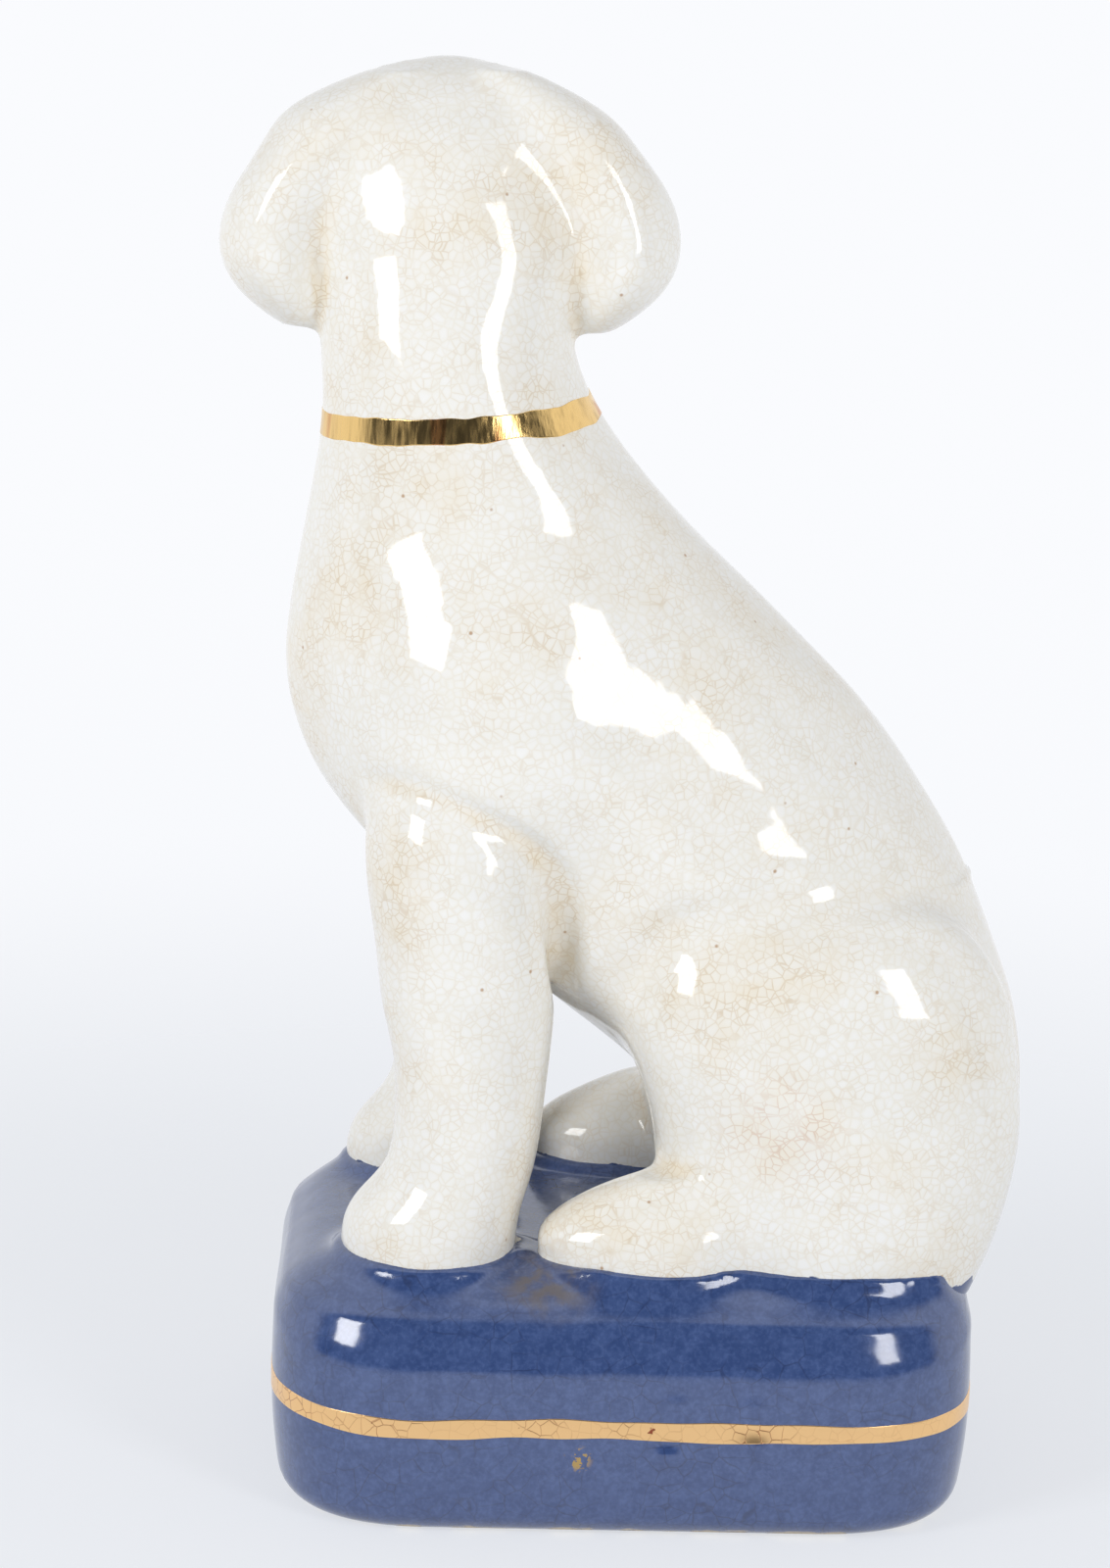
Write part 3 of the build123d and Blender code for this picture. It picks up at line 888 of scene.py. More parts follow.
def muzzle_loft():
    """The muzzle, which points along +Y."""
    x, y, z = SKULL_CENTRE
    reach, half_width, half_height, drop = np.transpose(MUZZLE_SHARES)
    return Loft(
        y + MUZZLE_ROOT + MUZZLE_LENGTH * reach,
        (x, z - MUZZLE_DROP * drop),
        (MUZZLE_WIDTH * half_width, MUZZLE_HEIGHT * half_height),
        axis=1,
    )


def ear_loft(side):
    """A drop ear, on the -X or +X side of the head."""
    x, y, z = SKULL_CENTRE
    drop, spread, half_thickness, half_width = np.transpose(EAR_SHARES)
    return Loft(
        z + EAR_ROOT_LIFT - EAR_LENGTH * drop,
        (x + side * EAR_SPREAD * spread, y - EAR_SETBACK),
        (EAR_THICKNESS * half_thickness, EAR_WIDTH * half_width),
    )


def skull_blend(x, y, z):
    """The nape flows into the skull, and the crown keeps its own curve."""
    crown = soft_step(z, NECK_TOP + CROWN_RISE[0], NECK_TOP + CROWN_RISE[1])
    return NAPE_BLEND + (CROWN_BLEND - NAPE_BLEND) * crown


def ear_blend(x, y, z):
    """Ears flow into the skull at their roots and stand off the neck at their tips."""
    root, crown = (
        soft_step(z, *(SKULL_CENTRE[2] + SKULL_RADII[2] * share for share in span))
        for span in (EAR_ROOT_SPAN, EAR_CROWN_SPAN)
    )
    return EAR_TIP_BLEND + (EAR_ROOT_BLEND - EAR_TIP_BLEND) * root * (1 - crown)


def pad_shape(node):
    """Middle and half sizes of an enamelled pad, which swells along +Y from the back of its box."""
    low, high = node_box(node)
    middle = (low + high) / 2
    middle[1] = low[1]
    radii = (high - low) / 2
    radii[1] = high[1] - low[1]
    return middle, radii


def tooled_roll(points, radius):
    """An even roll along a smooth path through a few points."""
    points = np.array(points, float)
    places = np.linspace(0, 1, len(points))
    along = np.linspace(0, 1, TOOL_STATIONS)
    path = np.stack([spline(along, places, points[:, i]) for i in range(3)], axis=1)
    return Roll(path, np.full(TOOL_STATIONS, radius))


def both_sides(points):
    """Points on one side of the face and, where they leave its middle line, on the other."""
    points = np.array(points, float)
    sides = (-1, 1) if np.any(points[..., 0]) else (1,)
    return [points * np.array((side, 1, 1)) for side in sides]


def tool_face(field):
    """Presses brows, flews, chin, lids and mouth into the head."""
    for place, radii, blend in FACE_SWELLINGS:
        for spot in both_sides(place):
            field.add(Egg(SKULL_CENTRE + spot, radii), blend)
    for place, radii, blend in FACE_HOLLOWS:
        for spot in both_sides(place):
            field.scrape(Egg(SKULL_CENTRE + spot, radii), blend)
    for points, radius, blend in FACE_GROOVES:
        for path in both_sides(points):
            field.scrape(tooled_roll(SKULL_CENTRE + path, radius), blend)
    for name in EYE_NODES:
        eye, _ = pad_shape(name)
        outward = np.sign(eye[0] - SKULL_CENTRE[0])
        for points, radius, blend in EYELIDS:
            path = np.array(points) * np.array((outward, 1, 1))
            field.add(tooled_roll(eye + path, radius), blend)


def tail_roll():
    """The tail, laid along the right haunch."""
    places = np.linspace(0, 1, TAIL_STATIONS)
    angles = TAIL_ROOT_ANGLE + TAIL_SWEEP_ANGLE * places
    shares = np.array(TAIL_SHARES)
    points = np.stack(
        [
            HAUNCH_SETBACK + (HAUNCH_LENGTH / 2 - TAIL_SINK) * np.cos(angles),
            HAUNCH_SPREAD + (HAUNCH_THICKNESS / 2 - TAIL_SINK) * np.sin(angles),
            PLINTH_TOP + TAIL_HEIGHT + TAIL_RISE * places,
        ],
        axis=1,
    )
    return Roll(points, TAIL_DIAMETER * spline(places, shares[:, 0], shares[:, 1]))


def model_dog(field):
    """Fills a clay field with the dog."""
    field.add(trunk_loft(), SHOULDER_BLEND)
    for side in (-1, 1):
        centre = (SHOULDER_CENTRE[0], side * SHOULDER_CENTRE[1], SHOULDER_CENTRE[2])
        field.add(Egg(centre, SHOULDER_RADII), SHOULDER_BLEND)
    field.add(Egg(SKULL_CENTRE, SKULL_RADII), skull_blend)
    field.add(muzzle_loft(), MUZZLE_BLEND)
    for side in (-1, 1):
        field.add(ear_loft(side), ear_blend)
        field.add(haunch_loft(side), HAUNCH_BLEND)
        field.add(hind_paw_loft(side), HIND_PAW_BLEND)
        field.add(foreleg_loft(side), FORELEG_BLEND)
    tool_face(field)
    for points, radius, blend in BODY_CREASES:
        for side in (-1, 1):
            field.scrape(tooled_roll(np.array(points) * np.array((1, -side, 1)), radius), blend)
    field.add(tail_roll(), TAIL_BLEND)
    field.add(Roll(BRIDGE_POINTS, BRIDGE_RADII), BRIDGE_BLEND)


def outline_offsets(x, y, inset):
    """How far each point lies past the centres of the plinth's rounded corners, along X and Y."""
    corner = PLINTH_CORNER - inset
    over_x = np.abs(x) - (PLINTH_HALF[0] - inset - corner)
    over_y = np.abs(y - PLINTH_MIDDLE_Y) - (PLINTH_HALF[1] - inset - corner)
    return over_x, over_y, corner


def outline_distance(x, y, inset):
    """Distance in the level to the plinth's outline drawn in by inset, below zero inside it."""
    over_x, over_y, corner = outline_offsets(x, y, inset)
    full = PLINTH_CORNER_FULLNESS
    outside = (np.maximum(over_x, 0) ** full + np.maximum(over_y, 0) ** full) ** (1 / full)
    return outside + np.minimum(np.maximum(over_x, over_y), 0) - corner


def top_round(x, y):
    """Rounding of the plinth's top edge, softer along the front and back than at the ends."""
    over_x, over_y, _ = outline_offsets(x, y, 0)
    over_x = np.maximum(over_x, 0) + TINY
    over_y = np.maximum(over_y, 0) + TINY
    front = over_y**2 / (over_x**2 + over_y**2)
    return PLINTH_END_ROUND + (PLINTH_FRONT_ROUND - PLINTH_END_ROUND) * soft_step(front, 0, 1)


def plinth_distance(x, y, z):
    """Distance from each point to the cushion plinth's plain form, below zero inside it."""
    top = PLINTH_TOP - PLINTH_TOP_SINK
    level = np.clip(z / top, 0, 1)
    ends = PLINTH_FOOT_DRAW_IN + (PLINTH_TOP_DRAW_IN - PLINTH_FOOT_DRAW_IN) * level
    inset = ends * (1 - 4 * level * (1 - level))
    edge = np.where(z > top / 2, top_round(x, y), PLINTH_FOOT_ROUND)
    beside = outline_distance(x, y, inset) + edge
    above = np.abs(z - top / 2) - top / 2 + edge
    rounded = np.hypot(np.maximum(beside, 0), np.maximum(above, 0))
    return rounded + np.minimum(np.maximum(beside, above), 0) - edge


def mould_line(x, y, z):
    """Height of the fine ridge that the mould's seam leaves round the plinth's shoulder."""
    waver = hand_waver(x, y, 0, MOULD_LINE_WAVER_LENGTH, MOULD_LINE_SEED)
    seam = MOULD_LINE_HEIGHT + MOULD_LINE_WAVER * waver
    ridge = np.exp(-(((z - seam) / MOULD_LINE_WIDTH) ** 2))
    outer = soft_step(outline_distance(x, y, 0), -PLINTH_FRONT_ROUND, -PLINTH_FRONT_ROUND / 2)
    return MOULD_LINE_PROUD * ridge * outer


def wrapped_band(name, carrier, middle, tilt, width, thickness, seed):
    """A closed gold band brushed round a glazed piece, in a plane tilted about Y."""
    surface = BVHTree.FromObject(carrier, bpy.context.evaluated_depsgraph_get())
    along = Vector((math.cos(tilt), 0, math.sin(tilt)))
    upward = Vector((-math.sin(tilt), 0, math.cos(tilt)))
    sideways = Vector((0, 1, 0))
    centre = Vector(middle)
    rings = []
    for station in range(BAND_STATIONS):
        angle = 2 * math.pi * station / BAND_STATIONS
        outward = along * math.cos(angle) + sideways * math.sin(angle)
        spot = centre + outward * BAND_CAST
        wider, finer, aside = (
            float(hand_waver(*spot, length, seed + i)) for i, length in enumerate(BAND_WAVER_LENGTHS)
        )
        half = width / 2 * (1 + BAND_WAVER_SHARE * (wider + finer))
        shift = width / 2 * BAND_WAVER_SHARE * 2 * aside
        ring = []
        for row in BAND_ROWS:
            start = spot + upward * (shift + half * row)
            hit, normal, _, _ = surface.ray_cast(start, -outward)
            if hit is None:
                raise RuntimeError(f"{name} misses the piece that carries it")
            crown = -BAND_SINK if abs(row) == 1 else thickness
            ring.append(hit + normal * crown)
        ring.extend(ring[row] - outward * thickness * 2 for row in (-1, 0))
        rings.append(ring)
    count = len(rings[0])
    points = np.array([point for ring in rings for point in ring])
    faces = []
    for station in range(BAND_STATIONS):
        here = station * count
        there = (station + 1) % BAND_STATIONS * count
        for row in range(count):
            after = (row + 1) % count
            faces.append((here + row, there + row, there + after, here + after))
    return mesh_object(name, points, np.array(faces))


def dress(piece, material, slot, *nodes):
    """Glazes a piece and lets it stand for the nodes that it covers."""
    piece.data.materials.append(material)
    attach(piece, "root")
    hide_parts(*nodes)


class NodeBench:
    """Builds shader nodes in one node tree."""

    def __init__(self, tree):
        self.tree = tree

    def node(self, kind, inputs, **settings):
        """One node with its settings, and its inputs fed by number or name."""
        made = self.tree.nodes.new(kind)
        for key, value in settings.items():
            setattr(made, key, value)
        for key, value in inputs.items():
            self.feed(made.inputs[key], value)
        return made

    def feed(self, socket, value):
        """Links an output to a socket, or sets the socket's own value."""
        if isinstance(value, bpy.types.NodeSocket):
            self.tree.links.new(value, socket)
        else:
            socket.default_value = value

    def remap(self, value, low, high, start=0.0, end=1.0):
        """Start where the value is low, end where it is high, and smooth between."""
        inputs = {"Value": value, "From Min": low, "From Max": high, "To Min": start, "To Max": end}
        return self.node("ShaderNodeMapRange", inputs, interpolation_type="SMOOTHSTEP").outputs[0]

    def maths(self, operation, first, second):
        """One sum of two values."""
        return self.node("ShaderNodeMath", {0: first, 1: second}, operation=operation).outputs[0]

    def plus(self, first, second):
        """Two values added up."""
        return self.maths("ADD", first, second)

    def times(self, first, second):
        """One value multiplied by another."""
        return self.maths("MULTIPLY", first, second)

    def most(self, first, second):
        """The greater of two values."""
        return self.maths("MAXIMUM", first, second)

    def mix(self, share, first, second):
        """From the first colour to the second by a share."""
        first, second = (
            colour if isinstance(colour, bpy.types.NodeSocket) else (*colour, 1)
            for colour in (first, second)
        )
        return self.node("ShaderNodeMix", {0: share, 6: first, 7: second}, data_type="RGBA").outputs[2]

    def mix_shader(self, share, first, second):
        """From the first shader to the second by a share."""
        return self.node("ShaderNodeMixShader", {0: share, 1: first, 2: second}).outputs[0]

    def seen_rays(self):
        """1 for what the camera sees straight, in a reflection or through glass."""
        path = self.node("ShaderNodeLightPath", {}).outputs
        bent = self.most(path["Is Glossy Ray"], path["Is Transmission Ray"])
        return self.most(path["Is Camera Ray"], bent)


class Glazer(NodeBench):
    """Builds one material's nodes, fed by places in the part's own frame."""

    def __init__(self, name):
        self.material = bpy.data.materials.new(name)
        self.material.use_nodes = True
        super().__init__(self.material.node_tree)
        self.shader = self.tree.nodes["Principled BSDF"]
        self.place = self.node("ShaderNodeTexCoord", {}).outputs["Object"]

    def finish(self, **sockets):
        """Feeds the shader's sockets, named with underscores."""
        for key, value in sockets.items():
            self.feed(self.shader.inputs[key.replace("_", " ")], value)
        return self.material

    def noise(self, size, detail, place=None):
        """Cloudy value from 0 to 1, with clouds of about the given size."""
        inputs = {"Vector": place or self.place, "Scale": 1 / size, "Detail": detail}
        return self.node("ShaderNodeTexNoise", inputs).outputs[0]

    def clouds(self, size, detail, low, high, start=0.0, end=1.0, place=None):
        """Cloudy value that runs from start to end where the noise runs from low to high."""
        return self.remap(self.noise(size, detail, place), low, high, start, end)

    def cells(self, size, feature="DISTANCE_TO_EDGE", place=None):
        """Distance inside cells of about the given size, in cell sizes."""
        inputs = {"Vector": place or self.place, "Scale": 1 / size}
        return self.node("ShaderNodeTexVoronoi", inputs, feature=feature).outputs["Distance"]

    def cell_tones(self, size, place):
        """One chance colour for each cell of about the given size."""
        inputs = {"Vector": place, "Scale": 1 / size}
        return self.node("ShaderNodeTexVoronoi", inputs).outputs["Color"]

    def attribute(self, name):
        """A value that the mesh holds at its points."""
        return self.node("ShaderNodeAttribute", {}, attribute_name=name).outputs["Fac"]

    def warped(self, size, amount):
        """Places pushed about by clouds, so that lines wander."""
        noise = self.node("ShaderNodeTexNoise", {"Vector": self.place, "Scale": 1 / size})
        inputs = {0: noise.outputs[1], 1: (0.5, 0.5, 0.5)}
        centred = self.node("ShaderNodeVectorMath", inputs, operation="SUBTRACT")
        inputs = {0: centred.outputs[0], 1: (2 * amount,) * 3, 2: self.place}
        return self.node("ShaderNodeVectorMath", inputs, operation="MULTIPLY_ADD").outputs[0]

    def near(self, point, inner, outer):
        """1 within the inner distance of a point, 0 past the outer one."""
        inputs = {0: self.place, 1: tuple(point)}
        reach = self.node("ShaderNodeVectorMath", inputs, operation="DISTANCE").outputs["Value"]
        return self.remap(reach, inner, outer, 1.0, 0.0)

    def height(self):
        """Height above the surface that the figure stands on."""
        return self.node("ShaderNodeSeparateXYZ", {0: self.place}).outputs[2]

    def bump(self, height, depth):
        """Normal of a fine relief of the given depth."""
        inputs = {"Height": height, "Distance": depth, "Strength": 1.0}
        return self.node("ShaderNodeBump", inputs).outputs[0]

    def relief(self, size, detail, depth, place=None):
        """Normal of cloudy ripples of about the given size."""
        return self.bump(self.noise(size, detail, place), depth)


def shaded(colour, share):
    """A colour darkened to a share of itself."""
    return tuple(share * channel for channel in colour)


def cream_crackle(settings, cobalt):
    """Creamy crackle glaze: whiter in each cell's middle, stained along its cracks, with painted shade
    in its creases.
    """
    glaze = Glazer("cream_crackle_glaze")
    bent = glaze.warped(*CRACKLE_WARP)
    cell = glaze.cells(settings.crackle_size, place=bent)
    blush = glaze.near(BLUSH_PLACE, *BLUSH_REACH)
    # Painted shade: the crease mask darkens the glaze's hollows to the stain's tan
    crease_shade = glaze.attribute(CREASE_SHADE)
    stain = glaze.most(glaze.most(glaze.clouds(*STAIN_CLOUDS), blush), crease_shade)
    spot = glaze.times(glaze.remap(cell, *CELL_RAMP), glaze.remap(stain, *STAINED_CELL_RAMP))
    tone = glaze.remap(glaze.cell_tones(settings.crackle_size, bent), *TONE_RAMP)
    colour = glaze.mix(glaze.plus(spot, tone), settings.glaze_colour, settings.pale_colour)
    # The wash deepens in the creases as painted shade
    wash = glaze.plus(glaze.clouds(*WASH_CLOUDS), glaze.times(crease_shade, CREASE_SHADE_WASH))
    colour = glaze.mix(glaze.times(stain, wash), colour, settings.wash_colour)
    fine = glaze.remap(cell, *FINE_CRACK_RAMP)
    long = glaze.remap(glaze.cells(LONG_CRACKS, place=bent), *LONG_CRACK_RAMP)
    line = glaze.times(glaze.most(fine, long), glaze.clouds(*CRACK_CLOUDS))
    line = glaze.times(line, glaze.remap(stain, *STAINED_CRACK_RAMP))
    crack = glaze.mix(glaze.times(blush, BLUSH_SHARE), settings.crack_colour, settings.blush_colour)
    colour = glaze.mix(line, colour, crack)
    pinhole = glaze.remap(glaze.cells(PINHOLE_SPACING, "F1"), *PINHOLE_RAMP)
    colour = glaze.mix(pinhole, colour, settings.pinhole_colour)
    tide = glaze.plus(glaze.attribute(ABOVE_PLINTH), glaze.clouds(*TIDE_CLOUDS))
    colour = glaze.mix(glaze.remap(tide, *TIDE_RAMP), colour, cobalt)
    ripples = glaze.relief(*CRACKLE_RELIEF)
    return glaze.finish(Base_Color=colour, Roughness=CRACKLE_ROUGHNESS, Normal=ripples)


def cobalt_glaze(settings, gold_colour):
    """Speckled blue glaze over crazing, bare of glaze at the very foot."""
    glaze = Glazer("cobalt_glaze")
    lines = glaze.remap(glaze.cells(CRAZE_SIZE, place=glaze.warped(*COBALT_WARP)), *CRAZE_RAMP)
    speckle = glaze.times(glaze.clouds(*SPECKLE_CLOUDS), MOTTLE_SHARE)
    mottle = glaze.times(glaze.clouds(*MOTTLE_CLOUDS), MOTTLE_SHARE)
    colour = glaze.mix(glaze.plus(speckle, mottle), settings.cobalt_colour, settings.mottle_colour)
    colour = glaze.mix(glaze.times(lines, glaze.clouds(*CRAZE_CLOUDS)), colour, CRAZE_COLOUR)
    smudge = glaze.times(glaze.near(SMUDGE_PLACE, *SMUDGE_REACH), glaze.clouds(*SMUDGE_CLOUDS))
    colour = glaze.mix(smudge, colour, settings.smudge_colour)
    stray = glaze.near(STRAY_GOLD_PLACE, *STRAY_GOLD_REACH)
    stray = glaze.times(stray, glaze.clouds(*STRAY_GOLD_CLOUDS))
    colour = glaze.mix(stray, colour, shaded(gold_colour, STRAY_GOLD_SHADE))
    bare = glaze.remap(glaze.plus(glaze.height(), glaze.clouds(*FOOT_CLOUDS)), *FOOT_RAMP)
    colour = glaze.mix(bare, colour, settings.clay_colour)
    matt = glaze.most(bare, glaze.times(smudge, SMUDGE_MATT))
    return glaze.finish(
        Base_Color=colour,
        Metallic=stray,
        Roughness=glaze.remap(matt, *COBALT_ROUGHNESS_RAMP),
        Specular_IOR_Level=1.0,
        Normal=glaze.relief(*COBALT_RELIEF),
    )


def bare_clay(settings):
    """Unglazed clay of the plinth's floor."""
    clay = Glazer("bare_clay")
    grain = clay.noise(*CLAY_GRAIN)
    dirt = clay.times(clay.clouds(*CLAY_CLOUDS), clay.remap(grain, *GRAIN_RAMP))
    colour = clay.mix(dirt, settings.clay_colour, shaded(settings.clay_colour, CLAY_SHADE))
    relief = clay.bump(grain, GRAIN_DEPTH)
    return clay.finish(Base_Color=colour, Roughness=CLAY_ROUGHNESS, Normal=relief)


def collar_gold(settings):
    """Bright gold with the streaks of the brush."""
    gold = Glazer("collar_gold")
    inputs = {"Vector": gold.place, "Scale": BRUSH_STRETCH}
    streak = gold.node("ShaderNodeMapping", inputs).outputs[0]
    thin = gold.times(gold.clouds(*THIN_GOLD_CLOUDS, place=streak), THIN_GOLD_SHARE)
    colour = gold.mix(thin, settings.gold_colour, shaded(settings.gold_colour, THIN_GOLD_SHADE))
    red = gold.times(gold.clouds(*RED_CLOUDS, place=streak), RED_SHARE)
    return gold.finish(
        Base_Color=gold.mix(red, colour, RED_COLOUR),
        Metallic=1.0,
        Roughness=gold.clouds(*COLLAR_ROUGHNESS_CLOUDS, place=streak),
        Normal=gold.relief(*COLLAR_RELIEF, place=streak),
    )


def band_gold(settings):
    """Orange gold, crazed with the glaze under it and pitted."""
    gold = Glazer("band_gold")
    bent = gold.warped(*BAND_WARP)
    line = gold.remap(gold.cells(BAND_CRAZE_SIZE, place=bent), *BAND_CRAZE_RAMP)
    worn = gold.times(line, gold.clouds(*BAND_WEAR_CLOUDS))
    marks = gold.most(worn, gold.clouds(*BAND_PIT_CLOUDS))
    return gold.finish(
        Base_Color=gold.mix(marks, settings.band_colour, BAND_MARK_COLOUR),
        Metallic=gold.remap(marks, *BAND_METAL_RAMP),
        Roughness=BAND_ROUGHNESS,
        Normal=gold.bump(marks, BAND_MARK_DEPTH),
    )


def eye_enamel():
    """Glossy brown iris round a black pupil."""
    enamel = Glazer("eye_enamel")
    pupil = iris = 0.0
    for name in EYE_NODES:
        middle, radii = pad_shape(name)
        front = middle + (0, radii[1], 0)
        pupil = enamel.most(enamel.near(front, *PUPIL_REACH), pupil)
        iris = enamel.most(enamel.near(front, *IRIS_REACH), iris)
    brown = enamel.mix(enamel.clouds(*IRIS_CLOUDS), *IRIS_COLOURS)
    colour = enamel.mix(pupil, enamel.mix(iris, EYE_RIM_COLOUR, brown), PUPIL_COLOUR)
    return enamel.finish(Base_Color=colour, Roughness=EYE_ROUGHNESS)


def nose_enamel():
    """Near-black brown enamel of the nose."""
    enamel = Glazer("dark_enamel")
    colour = enamel.mix(enamel.clouds(*NOSE_CLOUDS), *NOSE_COLOURS)
    relief = enamel.relief(*NOSE_RELIEF)
    return enamel.finish(Base_Color=colour, Roughness=NOSE_ROUGHNESS, Normal=relief)


def pale_floor():
    """A pale floor that fades into the backdrop and keeps the figure's shadow."""
    angles = 2 * np.pi * np.arange(FLOOR_SEGMENTS) / FLOOR_SEGMENTS
    radii = FLOOR_RADIUS * np.arange(1, FLOOR_RINGS + 1) / FLOOR_RINGS
    rings = [np.stack([r * np.cos(angles), r * np.sin(angles), 0 * angles], axis=1) for r in radii]
    points = np.concatenate([np.zeros((1, 3)), *rings])
    faces = [(0, 1 + i, 1 + (i + 1) % FLOOR_SEGMENTS) for i in range(FLOOR_SEGMENTS)]
    for ring in range(FLOOR_RINGS - 1):
        inner = 1 + ring * FLOOR_SEGMENTS
        outer = inner + FLOOR_SEGMENTS
        for i in range(FLOOR_SEGMENTS):
            after = (i + 1) % FLOOR_SEGMENTS
            faces.append((inner + i, outer + i, outer + after, inner + after))
    mesh = bpy.data.meshes.new("floor")
    mesh.from_pydata(points.tolist(), [], faces)
    floor = bpy.data.objects.new("floor", mesh)
    bpy.context.scene.collection.objects.link(floor)
    paint = Glazer("floor_paper")
    paint.finish(Base_Color=(*PAPER_COLOUR, 1), Roughness=PAPER_ROUGHNESS, Specular_IOR_Level=0.0)
    inputs = {"Color": (*BACKDROP_LOW, 1), "Strength": 1.0}
    glow = paint.node("ShaderNodeEmission", inputs).outputs[0]
    glowing = paint.times(paint.seen_rays(), FLOOR_GLOW_SHARE)
    lit = paint.mix_shader(glowing, paint.shader.outputs[0], glow)
    clear = paint.node("ShaderNodeBsdfTransparent", {}).outputs[0]
    fade = paint.near((0, 0, 0), FLOOR_FADE_START, FLOOR_RADIUS)
    surface = paint.tree.nodes["Material Output"].inputs["Surface"]
    paint.feed(surface, paint.mix_shader(fade, clear, lit))
    floor.data.materials.append(paint.material)


def bearing(turn, lift):
    """From the figure outwards: turned from its left side, and lifted off the level."""
    level = math.cos(lift)
    return Vector((math.sin(turn) * level, -math.cos(turn) * level, math.sin(lift)))


def softbox(name, turn, lift, width, height, power):
    """A soft lamp that faces the figure."""
    lamp = bpy.data.lights.new(name, "AREA")
    lamp.shape = "RECTANGLE"
    lamp.size = width
    lamp.size_y = height
    lamp.energy = power
    made = bpy.data.objects.new(name, lamp)
    middle = Vector((0, 0, (PLINTH_LOW[2] + HEAD_HIGH[2]) / 2))
    towards = bearing(turn, lift)
    made.location = middle + towards * SOFTBOX_DISTANCE
    made.rotation_mode = "QUATERNION"
    made.rotation_quaternion = towards.to_track_quat("Z", "Y")
    bpy.context.scene.collection.objects.link(made)


def studio_world(scene):
    """A pale backdrop that the camera and the gloss see, dim only where the camera's own side is."""
    world = bpy.data.worlds.new("studio")
    world.use_nodes = True
    scene.world = world
    sky = NodeBench(world.node_tree)
    ambient = sky.tree.nodes["Background"]
    direction = sky.node("ShaderNodeTexCoord", {}).outputs["Generated"]
    _, depth, rise = sky.node("ShaderNodeSeparateXYZ", {0: direction}).outputs
    around = sky.mix(sky.remap(depth, *SWEEP_DEPTH), AMBIENT_COLOUR, SWEEP_COLOUR)
    sky.feed(ambient.inputs["Color"], sky.mix(sky.remap(rise, *CEILING_RISE), around, CEILING_COLOUR))
    backdrop = sky.mix(sky.remap(rise, *BACKDROP_RISE), BACKDROP_LOW, BACKDROP_HIGH)
    front = sky.remap(depth, *ROOM_DEPTH, 1.0, 0.0)
    dim = sky.times(front, sky.remap(rise, *ROOM_RISE))
    straight = sky.node("ShaderNodeLightPath", {}).outputs["Is Camera Ray"]
    dim = sky.times(dim, sky.maths("SUBTRACT", 1.0, straight))
    shown = sky.node("ShaderNodeBackground", {"Color": sky.mix(dim, backdrop, ROOM_COLOUR)}).outputs[0]
    surface = sky.tree.nodes["World Output"].inputs["Surface"]
    sky.feed(surface, sky.mix_shader(sky.seen_rays(), ambient.outputs[0], shown))


def place_camera(scene, settings):
    """Stands the camera where the figure shows its left side from a little above."""
    lens = bpy.data.cameras.new("camera")
    lens.lens = settings.lens
    camera = bpy.data.objects.new("camera", lens)
    scene.collection.objects.link(camera)
    back = bearing(settings.azimuth, settings.elevation)
    turn = back.to_track_quat("Z", "Y").to_matrix() @ Matrix.Rotation(settings.roll, 3, "Z")
    spot = Vector(settings.target) + back * settings.distance
    camera.matrix_world = Matrix.Translation(spot) @ turn.to_4x4()
    scene.camera = camera


class POTTERY_OT_dog_skin(bpy.types.Operator):
    """Grow the glazed clay skin of the dog"""

    bl_idname = "pottery.dog_skin"
    bl_label = "Dog skin"

    def execute(self, context):
        """Models the dog in clay and replaces its castings with the skin."""
        corners = [node_box(name) for name in DOG_NODES]
        low = np.min([corner[0] for corner in corners], axis=0) - FIELD_MARGIN
        high = np.max([corner[1] for corner in corners], axis=0) + FIELD_MARGIN
        field = ClayField(low, high, SKIN_STEP)
        model_dog(field)
        x, y, z = field.whole()
        for depth, length, seed in SKIN_WAVERS:
            field.depth = field.depth + depth * hand_waver(x, y, z, length, seed)
        field.depth = np.maximum(field.depth, -plinth_distance(x, y, z) - SKIN_SINK)
        skin = field.mesh("dog_skin")
        points = np.array([vertex.co for vertex in skin.data.vertices]).T
        heights = plinth_distance(*points) - RUMP_TIDE * soft_step(points[0], *RUMP_TIDE_REACH)
        # Crease mask for the shade painted into the glaze's creases
        crease_shades = crease_shade_shares(skin.data, SKIN_STEP)
        for name, values in ((ABOVE_PLINTH, heights), (CREASE_SHADE, crease_shades)):
            marks = skin.data.attributes.new(name, "FLOAT", "POINT")
            marks.data.foreach_set("value", values.astype(np.float32))
        glaze = cream_crackle(context.scene.dog_glaze, context.scene.dog_plinth.cobalt_colour)
        dress(skin, glaze, "cream_crackle_glaze", *DOG_NODES)
        return {"FINISHED"}


